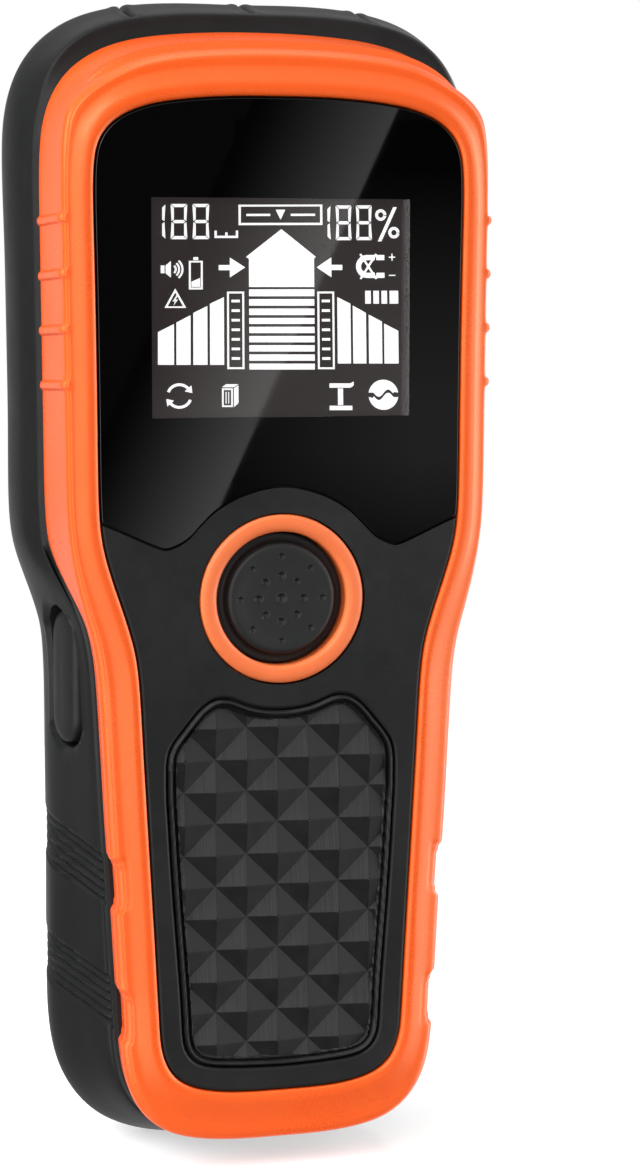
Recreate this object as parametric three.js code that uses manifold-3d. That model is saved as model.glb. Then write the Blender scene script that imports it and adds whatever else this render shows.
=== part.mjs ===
// Hand-held stud finder (wall scanner): two-part housing with a soft bumper, display window,
// round scan button, side button, grip pad, battery door, and the working parts inside.
//
// Frame: millimetres. +Z runs up the tool towards the display end, -Y is the side with the
// display, +Y points out of the flat sensing face, +X is the viewer's right. The origin is the
// centre of the flat sensing face. Pieces are laid out by x, by depth below the front plane
// (growing towards +Y), and by z before Z_SHIFT is added. Ranges are [low, high].
import * as THREE from 'three';
import { mergeVertices } from 'three/addons/utils/BufferGeometryUtils.js';
import Module from 'manifold-3d';

const wasm = await Module();
wasm.setup();
const { lerp, smoothstep } = THREE.MathUtils;

// ---------------------------------------------------------------- driving dimensions
const THICK = 32;            // front plane to sensing face
const Z_SHIFT = 0.65;        // puts the outline tables in the middle of the length
const SAMPLES = 84;          // points round each housing outline ring (even)
const PAD_SAMPLES = 60;      // points round the grip pad
const BEFORE = -1;           // depths clear of the tool's front and back, for cutters
const BEYOND = THICK + 1;
const SIDES = [-1, 1];       // left, right

const PANEL_DEPTH = 0.35;        // front panel sits this far below the bumper bead
const PANEL_BACK_DEPTH = 3.2;    // inside face of the front panel
const POCKET_DEPTH = 1.75;       // floor under the display window
const WINDOW_DEPTHS = [PANEL_DEPTH, 1.55];
const SEAM = 0.25;               // gap between front shell and bumper
const BUMPER_WALL = 1.8;         // soft overmould thickness
const FRONT_WALL = 1.4;          // front shell's side wall
const EDGE_GRIP = 6;             // depth of the bumper's back edge round the grip
const EDGE_HEAD = 14;            // and round the head
const WALL = 2.2;                // rear shell's side wall
const BACK_WALL = 2.0;
const BOSS_ROOT = THICK - BACK_WALL + 0.4;   // bosses and ribs sink into the back wall

const BUTTON_PLACE = [0, -1.7];  // (x, z) of the scan button
const RING_RADIUS = 11.75, RING_HOLE_RADIUS = 11.95, RING_INNER_RADIUS = 9.3, CAP_RADIUS = 9.0;

// Side button, an obround on the left wall, which slopes outwards towards the back.
const SIDE = { depth: 16.4, z: -13.5, halfWidth: 3.8, halfHeight: 9.4, segments: 6 };
const SIDE_SLOPE = 3.35 / 16.2;
const SIDE_WALL_X = -(25.2 + SIDE_SLOPE * (SIDE.depth - 6.3));   // wall face at the button

const LCD = { x: [-20.2, 20.2], depths: [2.0, 4.4], z: [20.0, 55.6] };
const LABEL = { x: [-15, 15], z: [25, 45], clearance: 0.3 };

const MAIN_BOARD = [10.4, 12.0];       // depths of the two boards
const SENSOR_BOARD = [26.8, 28.0];
const MAIN_SEAT = MAIN_BOARD[1] + 0.15;        // parts on the main board's back
const SENSOR_SEAT = SENSOR_BOARD[0] - 0.15;    // chip on the sensor board's front

const BATTERY = { width: 26.5, thickness: 17.5, bottom: -73.0, height: 46.4, front: 10.4 };
const BATTERY_AXIS = BATTERY.front + BATTERY.thickness / 2;
const BATTERY_TOP = BATTERY.bottom + BATTERY.height;
const DOOR = { x: [-14.0, 14.0], z: [-73.9, -18.2], depths: [29.9, 31.9], gap: 0.3 };
const LATCH = { halfWidth: 5, drop: 2.3 };     // tab at the door's lower end

// Screw places (x, z), left then right.
const pair = (x, z) => [[-x, z], [x, z]];
const HOUSING_SCREWS = [...pair(19.0, 62.6), ...pair(17.0, -66.0)];
const BOARD_SCREWS = [...pair(13.0, 60.6), ...pair(22.8, 14.0)];
const SENSOR_POSTS = [...pair(18.0, 54.0), ...pair(18.0, 16.0)];
const SENSOR_SCREWS = [SENSOR_POSTS[0], SENSOR_POSTS[3]];

// Right-hand half outlines, (x, z), from top to bottom. Entry n of one of the first three
// tables lies beside entry n of the others.
const INNER_EDGE = [
  [0, 66.93], [8.01, 66.85], [16.42, 66.03], [20.56, 64.93], [23.68, 63.19], [25.72, 60.39],
  [26.3, 56.03], [26.22, 48], [26.02, 36], [25.89, 22], [25.75, 9.99], [25.18, 5.77],
  [24.14, 1.95], [22.87, -1.8], [21.79, -5.11], [20.86, -8.53], [20.3, -12.7], [19.8, -21.99],
  [19.3, -31], [18.81, -40.01], [18.35, -48.01], [17.73, -59.81], [17.37, -64.39],
  [16.02, -67.61], [14.03, -69.31], [11.57, -70.29], [8.04, -70.9], [4.01, -71.1], [0, -71.11],
];
const BUMPER_EDGE = [
  [0, 76.5], [8.97, 76.25], [17, 75.4], [22.75, 73.63], [27.5, 70.17], [30.26, 64.72],
  [30.95, 58.02], [30.9, 48], [30.8, 36], [30.65, 22], [30.5, 9.99], [29.92, 4.96],
  [28.61, 0.53], [27.28, -3.1], [26.09, -6.89], [25.4, -11.03], [25.05, -16.01], [24.6, -24],
  [24.15, -33.01], [23.54, -42.01], [23.1, -50.01], [22.64, -58.01], [22.35, -64.03],
  [21.47, -69.47], [19.27, -73.58], [16.03, -76.14], [11.58, -77.44], [6.02, -77.95], [0, -77.96],
];
const SHELL_EDGE = [
  [0, 81.1], [9.63, 81.2], [18.62, 80.37], [25.61, 78.05], [30.92, 73.24], [33.5, 66.39],
  [33.95, 58.8], [33.68, 48], [33.54, 36], [33.39, 22.01], [33.45, 10], [32.82, 4.57],
  [31.27, -0.02], [30, -3.6], [28.95, -7.37], [28.63, -11.49], [28.5, -16], [28.49, -24.5],
  [28.44, -33.5], [28.43, -42.5], [28.5, -50.5], [28.47, -58.99], [28.25, -65.48],
  [27.1, -71.3], [24.42, -76.14], [20.6, -79.6], [14.2, -81.9], [7, -82.35], [0, -82.4],
];
// Grip pad.
const PAD_EDGE = [
  [0, -17.17], [2.2, -17.02], [4.3, -16.62], [5.8, -16.05], [7.2, -15.47], [8.6, -15.3],
  [9.8, -15.5], [10.8, -16.05], [11.7, -16.75], [12.75, -17.9], [14.1, -19.55], [15.15, -20.85],
  [15.8, -21.85], [16.2, -22.95], [16.38, -24.4], [16.4, -26.5], [16.38, -29.2], [16.2, -32.1],
  [15.7, -41], [15.1, -49], [14.5, -57], [14.35, -60], [14.25, -62.15], [14.05, -63.7],
  [13.55, -65], [12.8, -65.9], [11.9, -66.5], [10.6, -66.95], [8.8, -67.2], [5.9, -67.42],
  [3, -67.55], [0, -67.6],
];
// Right half of the display window's lower edge (x, z), from the side in to the centre:
// it dips, then rises over the scan button.
const WINDOW_SEAM = [
  [25.4, 9.0], [22.8, 7.9], [20.6, 6.9], [18.3, 5.9], [16.6, 5.35], [15.4, 5.6], [13.5, 6.6],
  [11.5, 8.6], [9.4, 10.5], [5.4, 12.6], [0, 13.7],
];

// ---------------------------------------------------------------- places and ranges
const yAt = (depth) => depth - THICK;
const around = (centre, half) => [centre - half, centre + half];
const widen = ([low, high], margin) => [low - margin, high + margin];
const onSide = (side, [near, far]) => (side > 0 ? [near, far] : [-far, -near]);
const mirrorBack = (half) => half.slice().reverse().map(([x, z]) => [-x, z]);
// A value along z that changes from the grip's to the head's.
const gripToHead = (grip, head) => (z) => lerp(grip, head, smoothstep(z, -6, 7));
const edgeDepth = gripToHead(EDGE_GRIP, EDGE_HEAD);

// ---------------------------------------------------------------- outline rings
function outline(half, count) {
  const loop = [...half, ...mirrorBack(half.slice(1, -1))];
  const points = loop.map(([x, z]) => new THREE.Vector3(x, z, 0));
  const curve = new THREE.CatmullRomCurve3(points, true, 'centripetal');
  return Array.from({ length: count }, (_, i) => {
    const point = curve.getPoint(i / count);
    return [point.x, point.y];
  });
}
// Moves each point inwards along its normal.
function inset(ring, amount) {
  const count = ring.length;
  return ring.map(([x, z], i) => {
    const before = ring[(i + count - 1) % count];
    const after = ring[(i + 1) % count];
    const dx = after[0] - before[0];
    const dz = after[1] - before[1];
    const length = Math.hypot(dx, dz);
    return [x + (dz / length) * amount, z - (dx / length) * amount];
  });
}
const mixRings = (from, to, shareAt) => from.map(([x, z], i) => {
  const share = shareAt(z);
  return [lerp(x, to[i][0], share), lerp(z, to[i][1], share)];
});
const ringAt = (ring, depth) => ring.map(([x, z]) =>
  [x, yAt(typeof depth === 'function' ? depth(z) : depth), z + Z_SHIFT]);

const inner = outline(INNER_EDGE, SAMPLES);
const bumper = outline(BUMPER_EDGE, SAMPLES);
const shell = outline(SHELL_EDGE, SAMPLES);
const pad = outline(PAD_EDGE, PAD_SAMPLES);

// ---------------------------------------------------------------- meshes
function signedVolume(pos, idx) {
  let volume = 0;
  for (let i = 0; i < idx.length; i += 3) {
    const [a, b, c] = [idx[i] * 3, idx[i + 1] * 3, idx[i + 2] * 3];
    volume += pos[a] * (pos[b + 1] * pos[c + 2] - pos[b + 2] * pos[c + 1])
      - pos[a + 1] * (pos[b] * pos[c + 2] - pos[b + 2] * pos[c])
      + pos[a + 2] * (pos[b] * pos[c + 1] - pos[b + 1] * pos[c]);
  }
  return volume;
}
function indexed(pos, idx) {
  const geometry = new THREE.BufferGeometry();
  geometry.setAttribute('position', new THREE.Float32BufferAttribute(pos, 3));
  geometry.setIndex(idx);
  return geometry;
}
// Indexed geometry with its triangles turned to face outwards.
function outward(pos, idx) {
  if (signedVolume(pos, idx) < 0) {
    for (let i = 0; i < idx.length; i += 3) {
      [idx[i + 1], idx[i + 2]] = [idx[i + 2], idx[i + 1]];
    }
  }
  return indexed(pos, idx);
}

// Caps as triangles of ring indices: rungs across a symmetric ring, or a fan over a convex one.
function ladderCap(count) {
  const triangles = [[0, 1, count - 1]];
  for (let i = 1; i < count / 2 - 1; i++) {
    triangles.push([i, i + 1, count - i - 1], [i, count - i - 1, count - i]);
  }
  triangles.push([count / 2 - 1, count / 2, count / 2 + 1]);
  return triangles;
}
const fanCap = (count) => Array.from({ length: count - 2 }, (_, i) => [0, i + 1, i + 2]);

// Surface through a stack of 3D rings. Without a cap, the last ring joins the first.
function loft(rings, cap) {
  const count = rings[0].length;
  const idx = [];
  for (let j = 0; j < (cap ? rings.length - 1 : rings.length); j++) {
    const here = j * count;
    const above = ((j + 1) % rings.length) * count;
    for (let i = 0; i < count; i++) {
      const next = (i + 1) % count;
      idx.push(here + i, here + next, above + next, here + i, above + next, above + i);
    }
  }
  if (cap) {
    const last = (rings.length - 1) * count;
    const triangles = cap(count);
    for (const [a, b, c] of triangles) idx.push(a, c, b);
    for (const [a, b, c] of triangles) idx.push(last + a, last + b, last + c);
  }
  return outward(rings.flat(2), idx);
}
// The same through [outline ring, depth] pairs.
const skin = (levels, cap) => loft(levels.map(([ring, depth]) => ringAt(ring, depth)), cap);

function clean(geometry) {
  const bare = geometry.clone();
  bare.deleteAttribute('normal');
  bare.deleteAttribute('uv');
  const merged = mergeVertices(bare, 1e-4);
  const source = merged.index.array;
  const idx = [];
  for (let i = 0; i < source.length; i += 3) {     // drop the slivers a pole leaves behind
    const [a, b, c] = [source[i], source[i + 1], source[i + 2]];
    if (a !== b && b !== c && a !== c) idx.push(a, b, c);
  }
  return outward(Array.from(merged.attributes.position.array), idx);
}
function solid(geometry) {
  const cleaned = clean(geometry);
  return new wasm.Manifold(new wasm.Mesh({
    numProp: 3,
    vertProperties: new Float32Array(cleaned.attributes.position.array),
    triVerts: new Uint32Array(cleaned.index.array),
  }));
}
function surface(body) {
  const mesh = body.getMesh();
  return indexed(mesh.vertProperties, Array.from(mesh.triVerts));
}
const cut = (base, ...tools) => tools.reduce((body, tool) => body.subtract(solid(tool)), base);
const join = (base, ...parts) => parts.reduce((body, part) => body.add(solid(part)), base);

// ---------------------------------------------------------------- basic shapes
const shapeOf = (points) => new THREE.Shape(points.map(([x, y]) => new THREE.Vector2(x, y)));
const extrude = (points, depth) =>
  new THREE.ExtrudeGeometry(shapeOf(points), { depth, bevelEnabled: false });

// Prism with an (x, z) outline between two depths.
const prism = (points, [front, back]) =>
  extrude(points.map(([x, z]) => [x, z + Z_SHIFT]), back - front)
    .rotateX(Math.PI / 2)
    .translate(0, yAt(back), 0);

function roundedRect([left, right], [low, high], radius, segments) {
  const corners = [
    [right - radius, high - radius],
    [left + radius, high - radius],
    [left + radius, low + radius],
    [right - radius, low + radius],
  ];
  return corners.flatMap(([x, z], quarter) => Array.from({ length: segments + 1 }, (_, i) => {
    const angle = (90 * quarter + 90 * i / segments) * Math.PI / 180;
    return [x + radius * Math.cos(angle), z + radius * Math.sin(angle)];
  }));
}
const middle = ([low, high]) => (low + high) / 2;
const length = ([low, high]) => high - low;
const block = (x, depths, z) => new THREE.BoxGeometry(length(x), length(depths), length(z))
  .translate(middle(x), yAt(middle(depths)), middle(z) + Z_SHIFT);
const rod = ([x, z], radius, depths, segments = 20) =>
  new THREE.CylinderGeometry(radius, radius, length(depths), segments)
    .translate(x, yAt(middle(depths)), z + Z_SHIFT);
const rods = (places, ...sizes) => places.map((place) => rod(place, ...sizes));
const lathe = (profile, segments) =>
  new THREE.LatheGeometry(profile.map(([r, y]) => new THREE.Vector2(r, y)), segments);
// Turned piece about a line along Y through (x, z): profile of (radius, depth).
const turned = (profile, [x, z], segments) =>
  lathe(profile.map(([r, depth]) => [r, yAt(depth)]), segments).translate(x, 0, z + Z_SHIFT);

// ---------------------------------------------------------------- shared cutters
const bossRadius = (z) => (z > 0 ? 2.6 : 2.2);    // front bosses, head and grip

// Everything above the window's lower edge, with that edge raised by lift.
function aboveSeam(lift, depths) {
  const seam = [...WINDOW_SEAM, ...mirrorBack(WINDOW_SEAM.slice(0, -1))];
  const sideZ = seam[0][1] + lift + 1;
  const lower = seam.map(([x, z]) => [x, z + lift]);
  return prism([[40, sideZ], ...lower, [-40, sideZ], [-40, 90], [40, 90]], depths);
}

function obround(halfWidth, halfHeight, segments) {
  const straight = halfHeight - halfWidth;
  return [0, 1].flatMap((end) => Array.from({ length: segments + 1 }, (_, i) => {
    const angle = Math.PI * end + Math.PI * i / segments;
    const centre = end ? -straight : straight;
    return [halfWidth * Math.cos(angle), centre + halfWidth * Math.sin(angle)];
  }));
}
// Stack of obrounds parallel to the sloping left wall, from (offset, grow) levels: offset is
// measured outwards from the wall's face, grow widens the obround.
const sideStack = (levels) => loft(levels.map(([offset, grow]) =>
  obround(SIDE.halfWidth + grow, SIDE.halfHeight + grow, SIDE.segments).map(([y, z]) =>
    [SIDE_WALL_X - SIDE_SLOPE * y - offset, yAt(SIDE.depth) + y, SIDE.z + z + Z_SHIFT])), fanCap);
// Rod along X on the side button's axis.
const sideRod = (radius, x) => new THREE.CylinderGeometry(radius, radius, length(x), 16)
  .rotateZ(Math.PI / 2)
  .translate(middle(x), yAt(SIDE.depth), SIDE.z + Z_SHIFT);

// ---------------------------------------------------------------- bumper
function bumperFrame() {
  // Ring between the inner and outer edges; distanceFor turns the local width into a distance.
  const across = (distanceFor) => inner.map(([x, z], i) => {
    const [outX, outZ] = bumper[i];
    const width = Math.hypot(outX - x, outZ - z);
    const share = distanceFor(width) / width;
    return [lerp(x, outX, share), lerp(z, outZ, share)];
  });
  const BEAD = 2.1;                               // width of the raised bead at the inner edge
  const under = inset(bumper, BUMPER_WALL);
  const body = join(solid(skin([
    [inner, 2.0],
    [inner, PANEL_DEPTH],
    [across(() => 0.45), 0.06],
    [across(() => 1.25), 0.0],
    [across(() => BEAD), 0.3],
    [across((width) => lerp(BEAD, width, 0.3)), 0.8],
    [across((width) => lerp(BEAD, width, 0.66)), 1.5],
    [across((width) => width - 0.5), 2.9],
    [bumper, gripToHead(3.8, 5.0)],
    [bumper, edgeDepth],
    [under, edgeDepth],
    [under, 4.4],
  ])), ...fingerRibs());
  return cut(body, ...fingerNotches());
}
// Four finger ribs across each side wall of the head.
const fingerRibs = () => [0, 1, 2, 3].flatMap((i) =>
  rods(pair(30.45, 50.3 - 7.5 * i), 0.75, [5.2, 13.6], 10));
// Two finger notches in each side wall of the grip, widening outwards: (floor x, centre z).
function fingerNotches() {
  const cutterDepth = 3, floorHalf = 2.9, mouthHalf = 4.7;
  return [[22.95, -41], [21.85, -59.5]].flatMap(([x, z]) => SIDES.map((side) => prism([
    [side * x, z - floorHalf],
    [side * (x + cutterDepth), z - mouthHalf],
    [side * (x + cutterDepth), z + mouthHalf],
    [side * x, z + floorHalf],
  ], [2.9, 8])));
}

// ---------------------------------------------------------------- front shell
function frontShell() {
  const panel = inset(inner, SEAM);
  const wallOut = inset(bumper, BUMPER_WALL + SEAM);
  const wallIn = inset(bumper, BUMPER_WALL + SEAM + FRONT_WALL);
  const clear = inset(bumper, -4);
  const rootDepth = 2.6;                          // bosses and ribs start inside the panel
  const base = solid(skin([
    [panel, PANEL_DEPTH],
    [panel, 2.3],
    [wallOut, 4.7],
    [wallOut, edgeDepth],
    [wallIn, edgeDepth],
    [wallIn, 5.3],
    [inset(inner, 1.2), PANEL_BACK_DEPTH],
  ], ladderCap));
  // Bosses for the housing and circuit board screws, and ribs in front of the battery.
  const body = join(base,
    ...HOUSING_SCREWS.map((place) => rod(place, bossRadius(place[1]), [rootDepth, 13.0])),
    ...rods(BOARD_SCREWS, 2.2, [rootDepth, MAIN_BOARD[0] - 0.2]),
    ...[-30, -45, -60].map((z) =>
      block([-12.5, 12.5], [rootDepth, BATTERY.front - 0.3], around(z, 0.6))));
  // Nothing of the shell reaches into the bumper's seat.
  const bumperSeat = skin([
    [panel, BEFORE], [panel, 2.3], [wallOut, 4.7], [wallOut, 25], [clear, 25], [clear, BEFORE],
  ]);
  return cut(body,
    bumperSeat,
    aboveSeam(0, [BEFORE, POCKET_DEPTH]),
    prism(roundedRect(widen(LCD.x, 0.3), widen(LCD.z, 0.3), 0.6, 2), [1, 4]),
    rod(BUTTON_PLACE, RING_HOLE_RADIUS, [BEFORE, 4], 36),
    prism(inset(pad, -0.12), [BEFORE, 1.9]),
    ...rods(HOUSING_SCREWS, 1.12, [4.6, 14], 14),
    ...rods(BOARD_SCREWS, 1.02, [5.2, 11], 14));
}

// ---------------------------------------------------------------- rear shell
// Wall from the sensing face up the outside to the rim, over its tongue, and down the inside.
function rearShellWall() {
  const lowSide = mixRings(bumper, shell, gripToHead(0.14, 0.6));
  const highSide = mixRings(bumper, shell, gripToHead(0.5, 0.86));
  const tongueOut = inset(bumper, 3.6);
  const tongueIn = inset(bumper, 4.4);
  const rim = (z) => edgeDepth(z) + 0.3;
  const tongueTip = (z) => Math.max(edgeDepth(z) - 1.2, 5.5);
  return solid(skin([
    [inset(shell, 5.0), THICK],
    [inset(shell, 2.4), 31.0],
    [inset(shell, 0.9), 29.0],
    [inset(shell, 0.12), 26.0],
    [shell, 22.5],
    [highSide, gripToHead(14.2, 18.8)],
    [lowSide, gripToHead(8.5, 15.8)],
    [bumper, rim],
    [tongueOut, rim],
    [tongueOut, tongueTip],
    [tongueIn, tongueTip],
    [tongueIn, (z) => rim(z) + 1.3],
    [inset(highSide, WALL), gripToHead(14.7, 19.3)],
    [inset(shell, WALL), 22.5],
    [inset(shell, WALL + 0.4), 26.0],
    [inset(shell, 3.8), 28.6],
    [inset(shell, 6.6), THICK - BACK_WALL],
  ], ladderCap));
}
// Centre mark and edge marks: V grooves in the top wall.
const topMarks = () => [-17.2, 0, 17.2].map((x) => {
  const z = 81.0 - 0.0046 * x * x;
  return prism([[x - 0.9, z + 1.4], [x, z - 1.3], [x + 0.9, z + 1.4]], [13, 29.5]);
});
// Two groups of four grooves across each side wall of the grip, dropping towards the front.
const gripGrooves = () => [-35.5, -53.0].flatMap((top) => [0, 1, 2, 3].flatMap((i) =>
  SIDES.map((side) => new THREE.BoxGeometry(1.2, 13.5, 0.6)
    .rotateX(0.21)
    .rotateZ(-side * 0.25)
    .translate(side * 27.9, yAt(16.4), top - 1.45 * i + Z_SHIFT))));

function rearShell() {
  // Room for the front shell's bosses at the joint, and for the side button's flange.
  const hollowed = cut(rearShellWall(),
    ...HOUSING_SCREWS.map((place) => rod(place, bossRadius(place[1]) + 0.3, [3, 13.2])),
    sideStack([[-WALL, 1.9], [-9, 1.9]]));
  // Bosses, battery bay walls and the posts of the sensor board.
  const bayDepths = [13.5, BOSS_ROOT];
  const body = join(hollowed,
    ...rods(HOUSING_SCREWS, 3.2, [13.3, BOSS_ROOT]),
    ...SIDES.map((side) => block(onSide(side, [14.4, 15.6]), bayDepths, [-73.6, -24])),
    block([-15.6, 15.6], bayDepths, [-75.8, -74.4]),
    ...rods(SENSOR_POSTS, 2.2, [SENSOR_BOARD[1] + 0.2, BOSS_ROOT], 16));
  const { x, z, gap } = DOOR;
  const doorHole = roundedRect(widen(x, gap), widen(z, gap), 1.6, 3);
  const latchNotch = block(around(0, LATCH.halfWidth + gap), [29.0, BEYOND],
    [z[0] - LATCH.drop - gap, z[0]]);
  const labelRecess = roundedRect(
    widen(LABEL.x, LABEL.clearance), widen(LABEL.z, LABEL.clearance), 1.5, 3);
  return cut(body,
    ...HOUSING_SCREWS.flatMap((place) => [
      rod(place, 1.25, [12, BEYOND], 14),
      rod(place, 2.4, [27.0, BEYOND], 20),                // counterbore for the head
    ]),
    ...rods(SENSOR_SCREWS, 1.02, [27, 29.8], 14),
    prism(doorHole, [28, BEYOND]),
    latchNotch,
    prism(labelRecess, [31.55, BEYOND]),
    sideStack([[2, 0.5], [-WALL - 1, 0.5]]),              // side button's hole
    sideStack([[2, 1.35], [-0.55, 1.2]]),                 // and the dish round it
    ...topMarks(),
    ...gripGrooves());
}

// ---------------------------------------------------------------- front panel pieces
const displayWindow = () => solid(prism(inset(inner, SEAM + 0.05), WINDOW_DEPTHS))
  .intersect(solid(aboveSeam(0.3, [-2, 3])));

// Pyramid field: a grid whose corners alternate between low and raised, over a flat back.
function pyramidField() {
  const pitch = 4.45, centreX = -0.6, centreZ = -23.9;
  const lowDepth = 1.0, raisedDepth = 0.25, backDepth = 1.7;
  const left = -5, right = 5, bottom = -11, top = 3;       // grid limits, in steps
  const columns = right - left + 1, rows = top - bottom + 1;
  const FRONT = 0, BACK = 1;
  const isLow = (i, j) => (i + j) % 2 === 0;
  const pos = [];
  const idx = [];
  const addLayer = (depthAt) => {
    for (let j = bottom; j <= top; j++) {
      for (let i = left; i <= right; i++) {
        pos.push(i * pitch + centreX, yAt(depthAt(i, j)), centreZ + j * pitch + Z_SHIFT);
      }
    }
  };
  addLayer((i, j) => (isLow(i, j) ? lowDepth : raisedDepth));
  addLayer(() => backDepth);
  const id = (layer, [i, j]) => layer * columns * rows + (j - bottom) * columns + i - left;
  const face = (layer, corners) => idx.push(...corners.map((corner) => id(layer, corner)));
  const wall = (p, q) => idx.push(
    id(FRONT, p), id(BACK, q), id(FRONT, q), id(FRONT, p), id(BACK, p), id(BACK, q));

  for (let j = bottom; j < top; j++) {
    for (let i = left; i < right; i++) {
      const [a, b, c, d] = [[i, j], [i + 1, j], [i + 1, j + 1], [i, j + 1]];
      // Fold along the line between the two low corners.
      const front = isLow(i, j) ? [[a, b, c], [a, c, d]] : [[a, b, d], [b, c, d]];
      for (const corners of front) face(FRONT, corners);
      for (const corners of [[a, c, b], [a, d, c]]) face(BACK, corners);
    }
  }
  for (let i = left; i < right; i++) {
    wall([i, bottom], [i + 1, bottom]);
    wall([i + 1, top], [i, top]);
  }
  for (let j = bottom; j < top; j++) {
    wall([right, j], [right, j + 1]);
    wall([left, j + 1], [left, j]);
  }
  return solid(outward(pos, idx));
}
function gripPad() {
  const field = pyramidField().intersect(solid(prism(inset(pad, 1.2), [BEFORE, 1.65])));
  return solid(prism(inset(pad, 0.18), [1.05, 1.75])).add(field);
}

// Profiles of (radius, depth).
const CAP_PROFILE = [
  [0, 0.8], [4, 0.7], [7.0, 0.42], [7.7, 0.4], [8.5, 0.75], [CAP_RADIUS, 1.6], [CAP_RADIUS, 5.0],
  [10.1, 5.0], [10.1, 6.2], [7.6, 6.2], [7.6, 2.6], [1.9, 2.6], [1.9, 6.85], [0, 6.85],
];
const RING_PROFILE = [
  [RING_INNER_RADIUS, 1.2], [9.7, 0.35], [10.5, 0.0], [11.3, 0.25], [RING_RADIUS, 0.9],
  [RING_RADIUS, 3.35], [13.2, 3.35], [13.2, 4.6], [RING_INNER_RADIUS, 4.6],
  [RING_INNER_RADIUS, 1.2],
];
const mainButton = () => turned(CAP_PROFILE, BUTTON_PLACE, 28);
const buttonRing = () => turned(RING_PROFILE, BUTTON_PLACE, 36);

// Domed cap with a flange inside the wall, and a post reaching in towards its switch.
function sideButton() {
  const cap = sideStack([
    [0.55, -2.4], [0.43, -1.05], [0.14, -0.22], [-0.4, 0],
    [-WALL - 0.3, 0], [-WALL - 0.3, 1.2], [-WALL - 1.3, 1.2],
  ]);
  return join(solid(cap), sideRod(1.6, [SIDE_WALL_X + WALL + 1.0, -20.75]));
}

// ---------------------------------------------------------------- back pieces
function batteryDoor() {
  const [bottom] = DOOR.z;
  const back = DOOR.depths[1];
  // Stepped hook tabs at the upper end, reaching under the shell.
  const hookTabs = SIDES.flatMap((side) => {
    const x = onSide(side, [6, 11]);
    return [block(x, [28.4, 30.2], [-20.2, -18.6]), block(x, [28.4, 29.7], [-18.9, -15.6])];
  });
  const latchTab = block(around(0, LATCH.halfWidth), [29.4, back],
    [bottom - LATCH.drop, bottom + 0.4]);
  const ribs = SIDES.map((side) => block(onSide(side, [11.7, 12.9]), [28.3, 30.2], [-70, -24]));
  const thumbDish = new THREE.SphereGeometry(14, 24, 12)
    .translate(0, yAt(back) + 12.9, -66.5 + Z_SHIFT);
  const plate = solid(prism(roundedRect(DOOR.x, DOOR.z, 1.4, 3), DOOR.depths));
  return cut(join(plate, ...hookTabs, latchTab, ...ribs), thumbDish);
}
const ratingLabel = () => prism(roundedRect(LABEL.x, LABEL.z, 1.3, 3), [31.62, 31.8]);

// ---------------------------------------------------------------- display
const lcdPanel = () => block(LCD.x, LCD.depths, LCD.z);
const lcdBacklight = () => prism(roundedRect([-18.9, 18.9], [23.1, 54.1], 0.8, 2), [4.7, 8.0]);
const lcdFrame = () => cut(
  solid(prism(roundedRect([-22, 22], [18.9, 57.6], 1, 2), [4.6, 10.2])),
  block([-19.2, 19.2], [4, 11], [22.8, 54.4]),            // backlight opening
  block([-16.1, 16.1], [4, 11], [20.3, 22.1]));           // zebra strip slot
const zebraStrip = () => block([-15.8, 15.8], [4.6, 10.25], [20.6, 21.8]);

// ---------------------------------------------------------------- main board
function mainBoard() {
  const half = [[15.8, 63], [15.8, 58.9], [25.4, 57.2], [25.4, 9.5], [18.4, 1.5], [18.4, -16.6]];
  return cut(solid(prism([...half, ...mirrorBack(half)], MAIN_BOARD)),
    ...rods(BOARD_SCREWS, 1.2, [9, 13], 14));
}
const controllerChip = () => block([-5, 5], [MAIN_SEAT, 13.5], [36, 46]);
const memoryChip = () => block([9, 14], [MAIN_SEAT, 13.4], [44, 48]);
const crystal = () => prism(roundedRect([-11.5, -7.5], [36, 47], 1.9, 4), [MAIN_SEAT, 15.0]);
const buzzer = () => rod([15, 30], 4.6, [MAIN_SEAT, 16.6], 28);
const boardHeader = () => block([-7, 7], [MAIN_SEAT, 26.6], [15, 17.5]);
const mainSwitchBody = () => cut(
  solid(block([-3, 3], [7.4, 10.3], around(BUTTON_PLACE[1], 3))),
  rod(BUTTON_PLACE, 1.95, [6.4, 9.9], 16));
const mainSwitchPlunger = () => rod(BUTTON_PLACE, 1.75, [6.95, 8.7], 16);
const sideSwitchBody = () => cut(
  solid(block([-18.7, -15.0], [MAIN_SEAT, 18.8], around(SIDE.z, 3))),
  sideRod(1.35, [-20.6, -16.6]));
const sideSwitchPlunger = () => sideRod(1.15, [-20.6, -17.9]);

// ---------------------------------------------------------------- sensor board
const COIL_PLACE = [0, 44];
const COIL_PROFILE = [[5.5, 24.1], [8.6, 24.1], [8.6, 26.6], [5.5, 26.6], [5.5, 24.1]];
const sensorBoard = () => cut(
  solid(prism(roundedRect([-21, 21], [12, 58], 2, 3), SENSOR_BOARD)),
  ...rods(SENSOR_SCREWS, 1.2, [26, 29], 14));
const analogChip = () => block([-14, -7], [25.4, SENSOR_SEAT], [26, 33]);
const metalCoil = () => turned(COIL_PROFILE, COIL_PLACE, 28);
const coilCore = () => rod(COIL_PLACE, 5.2, [23.7, 26.6], 24);

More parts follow.
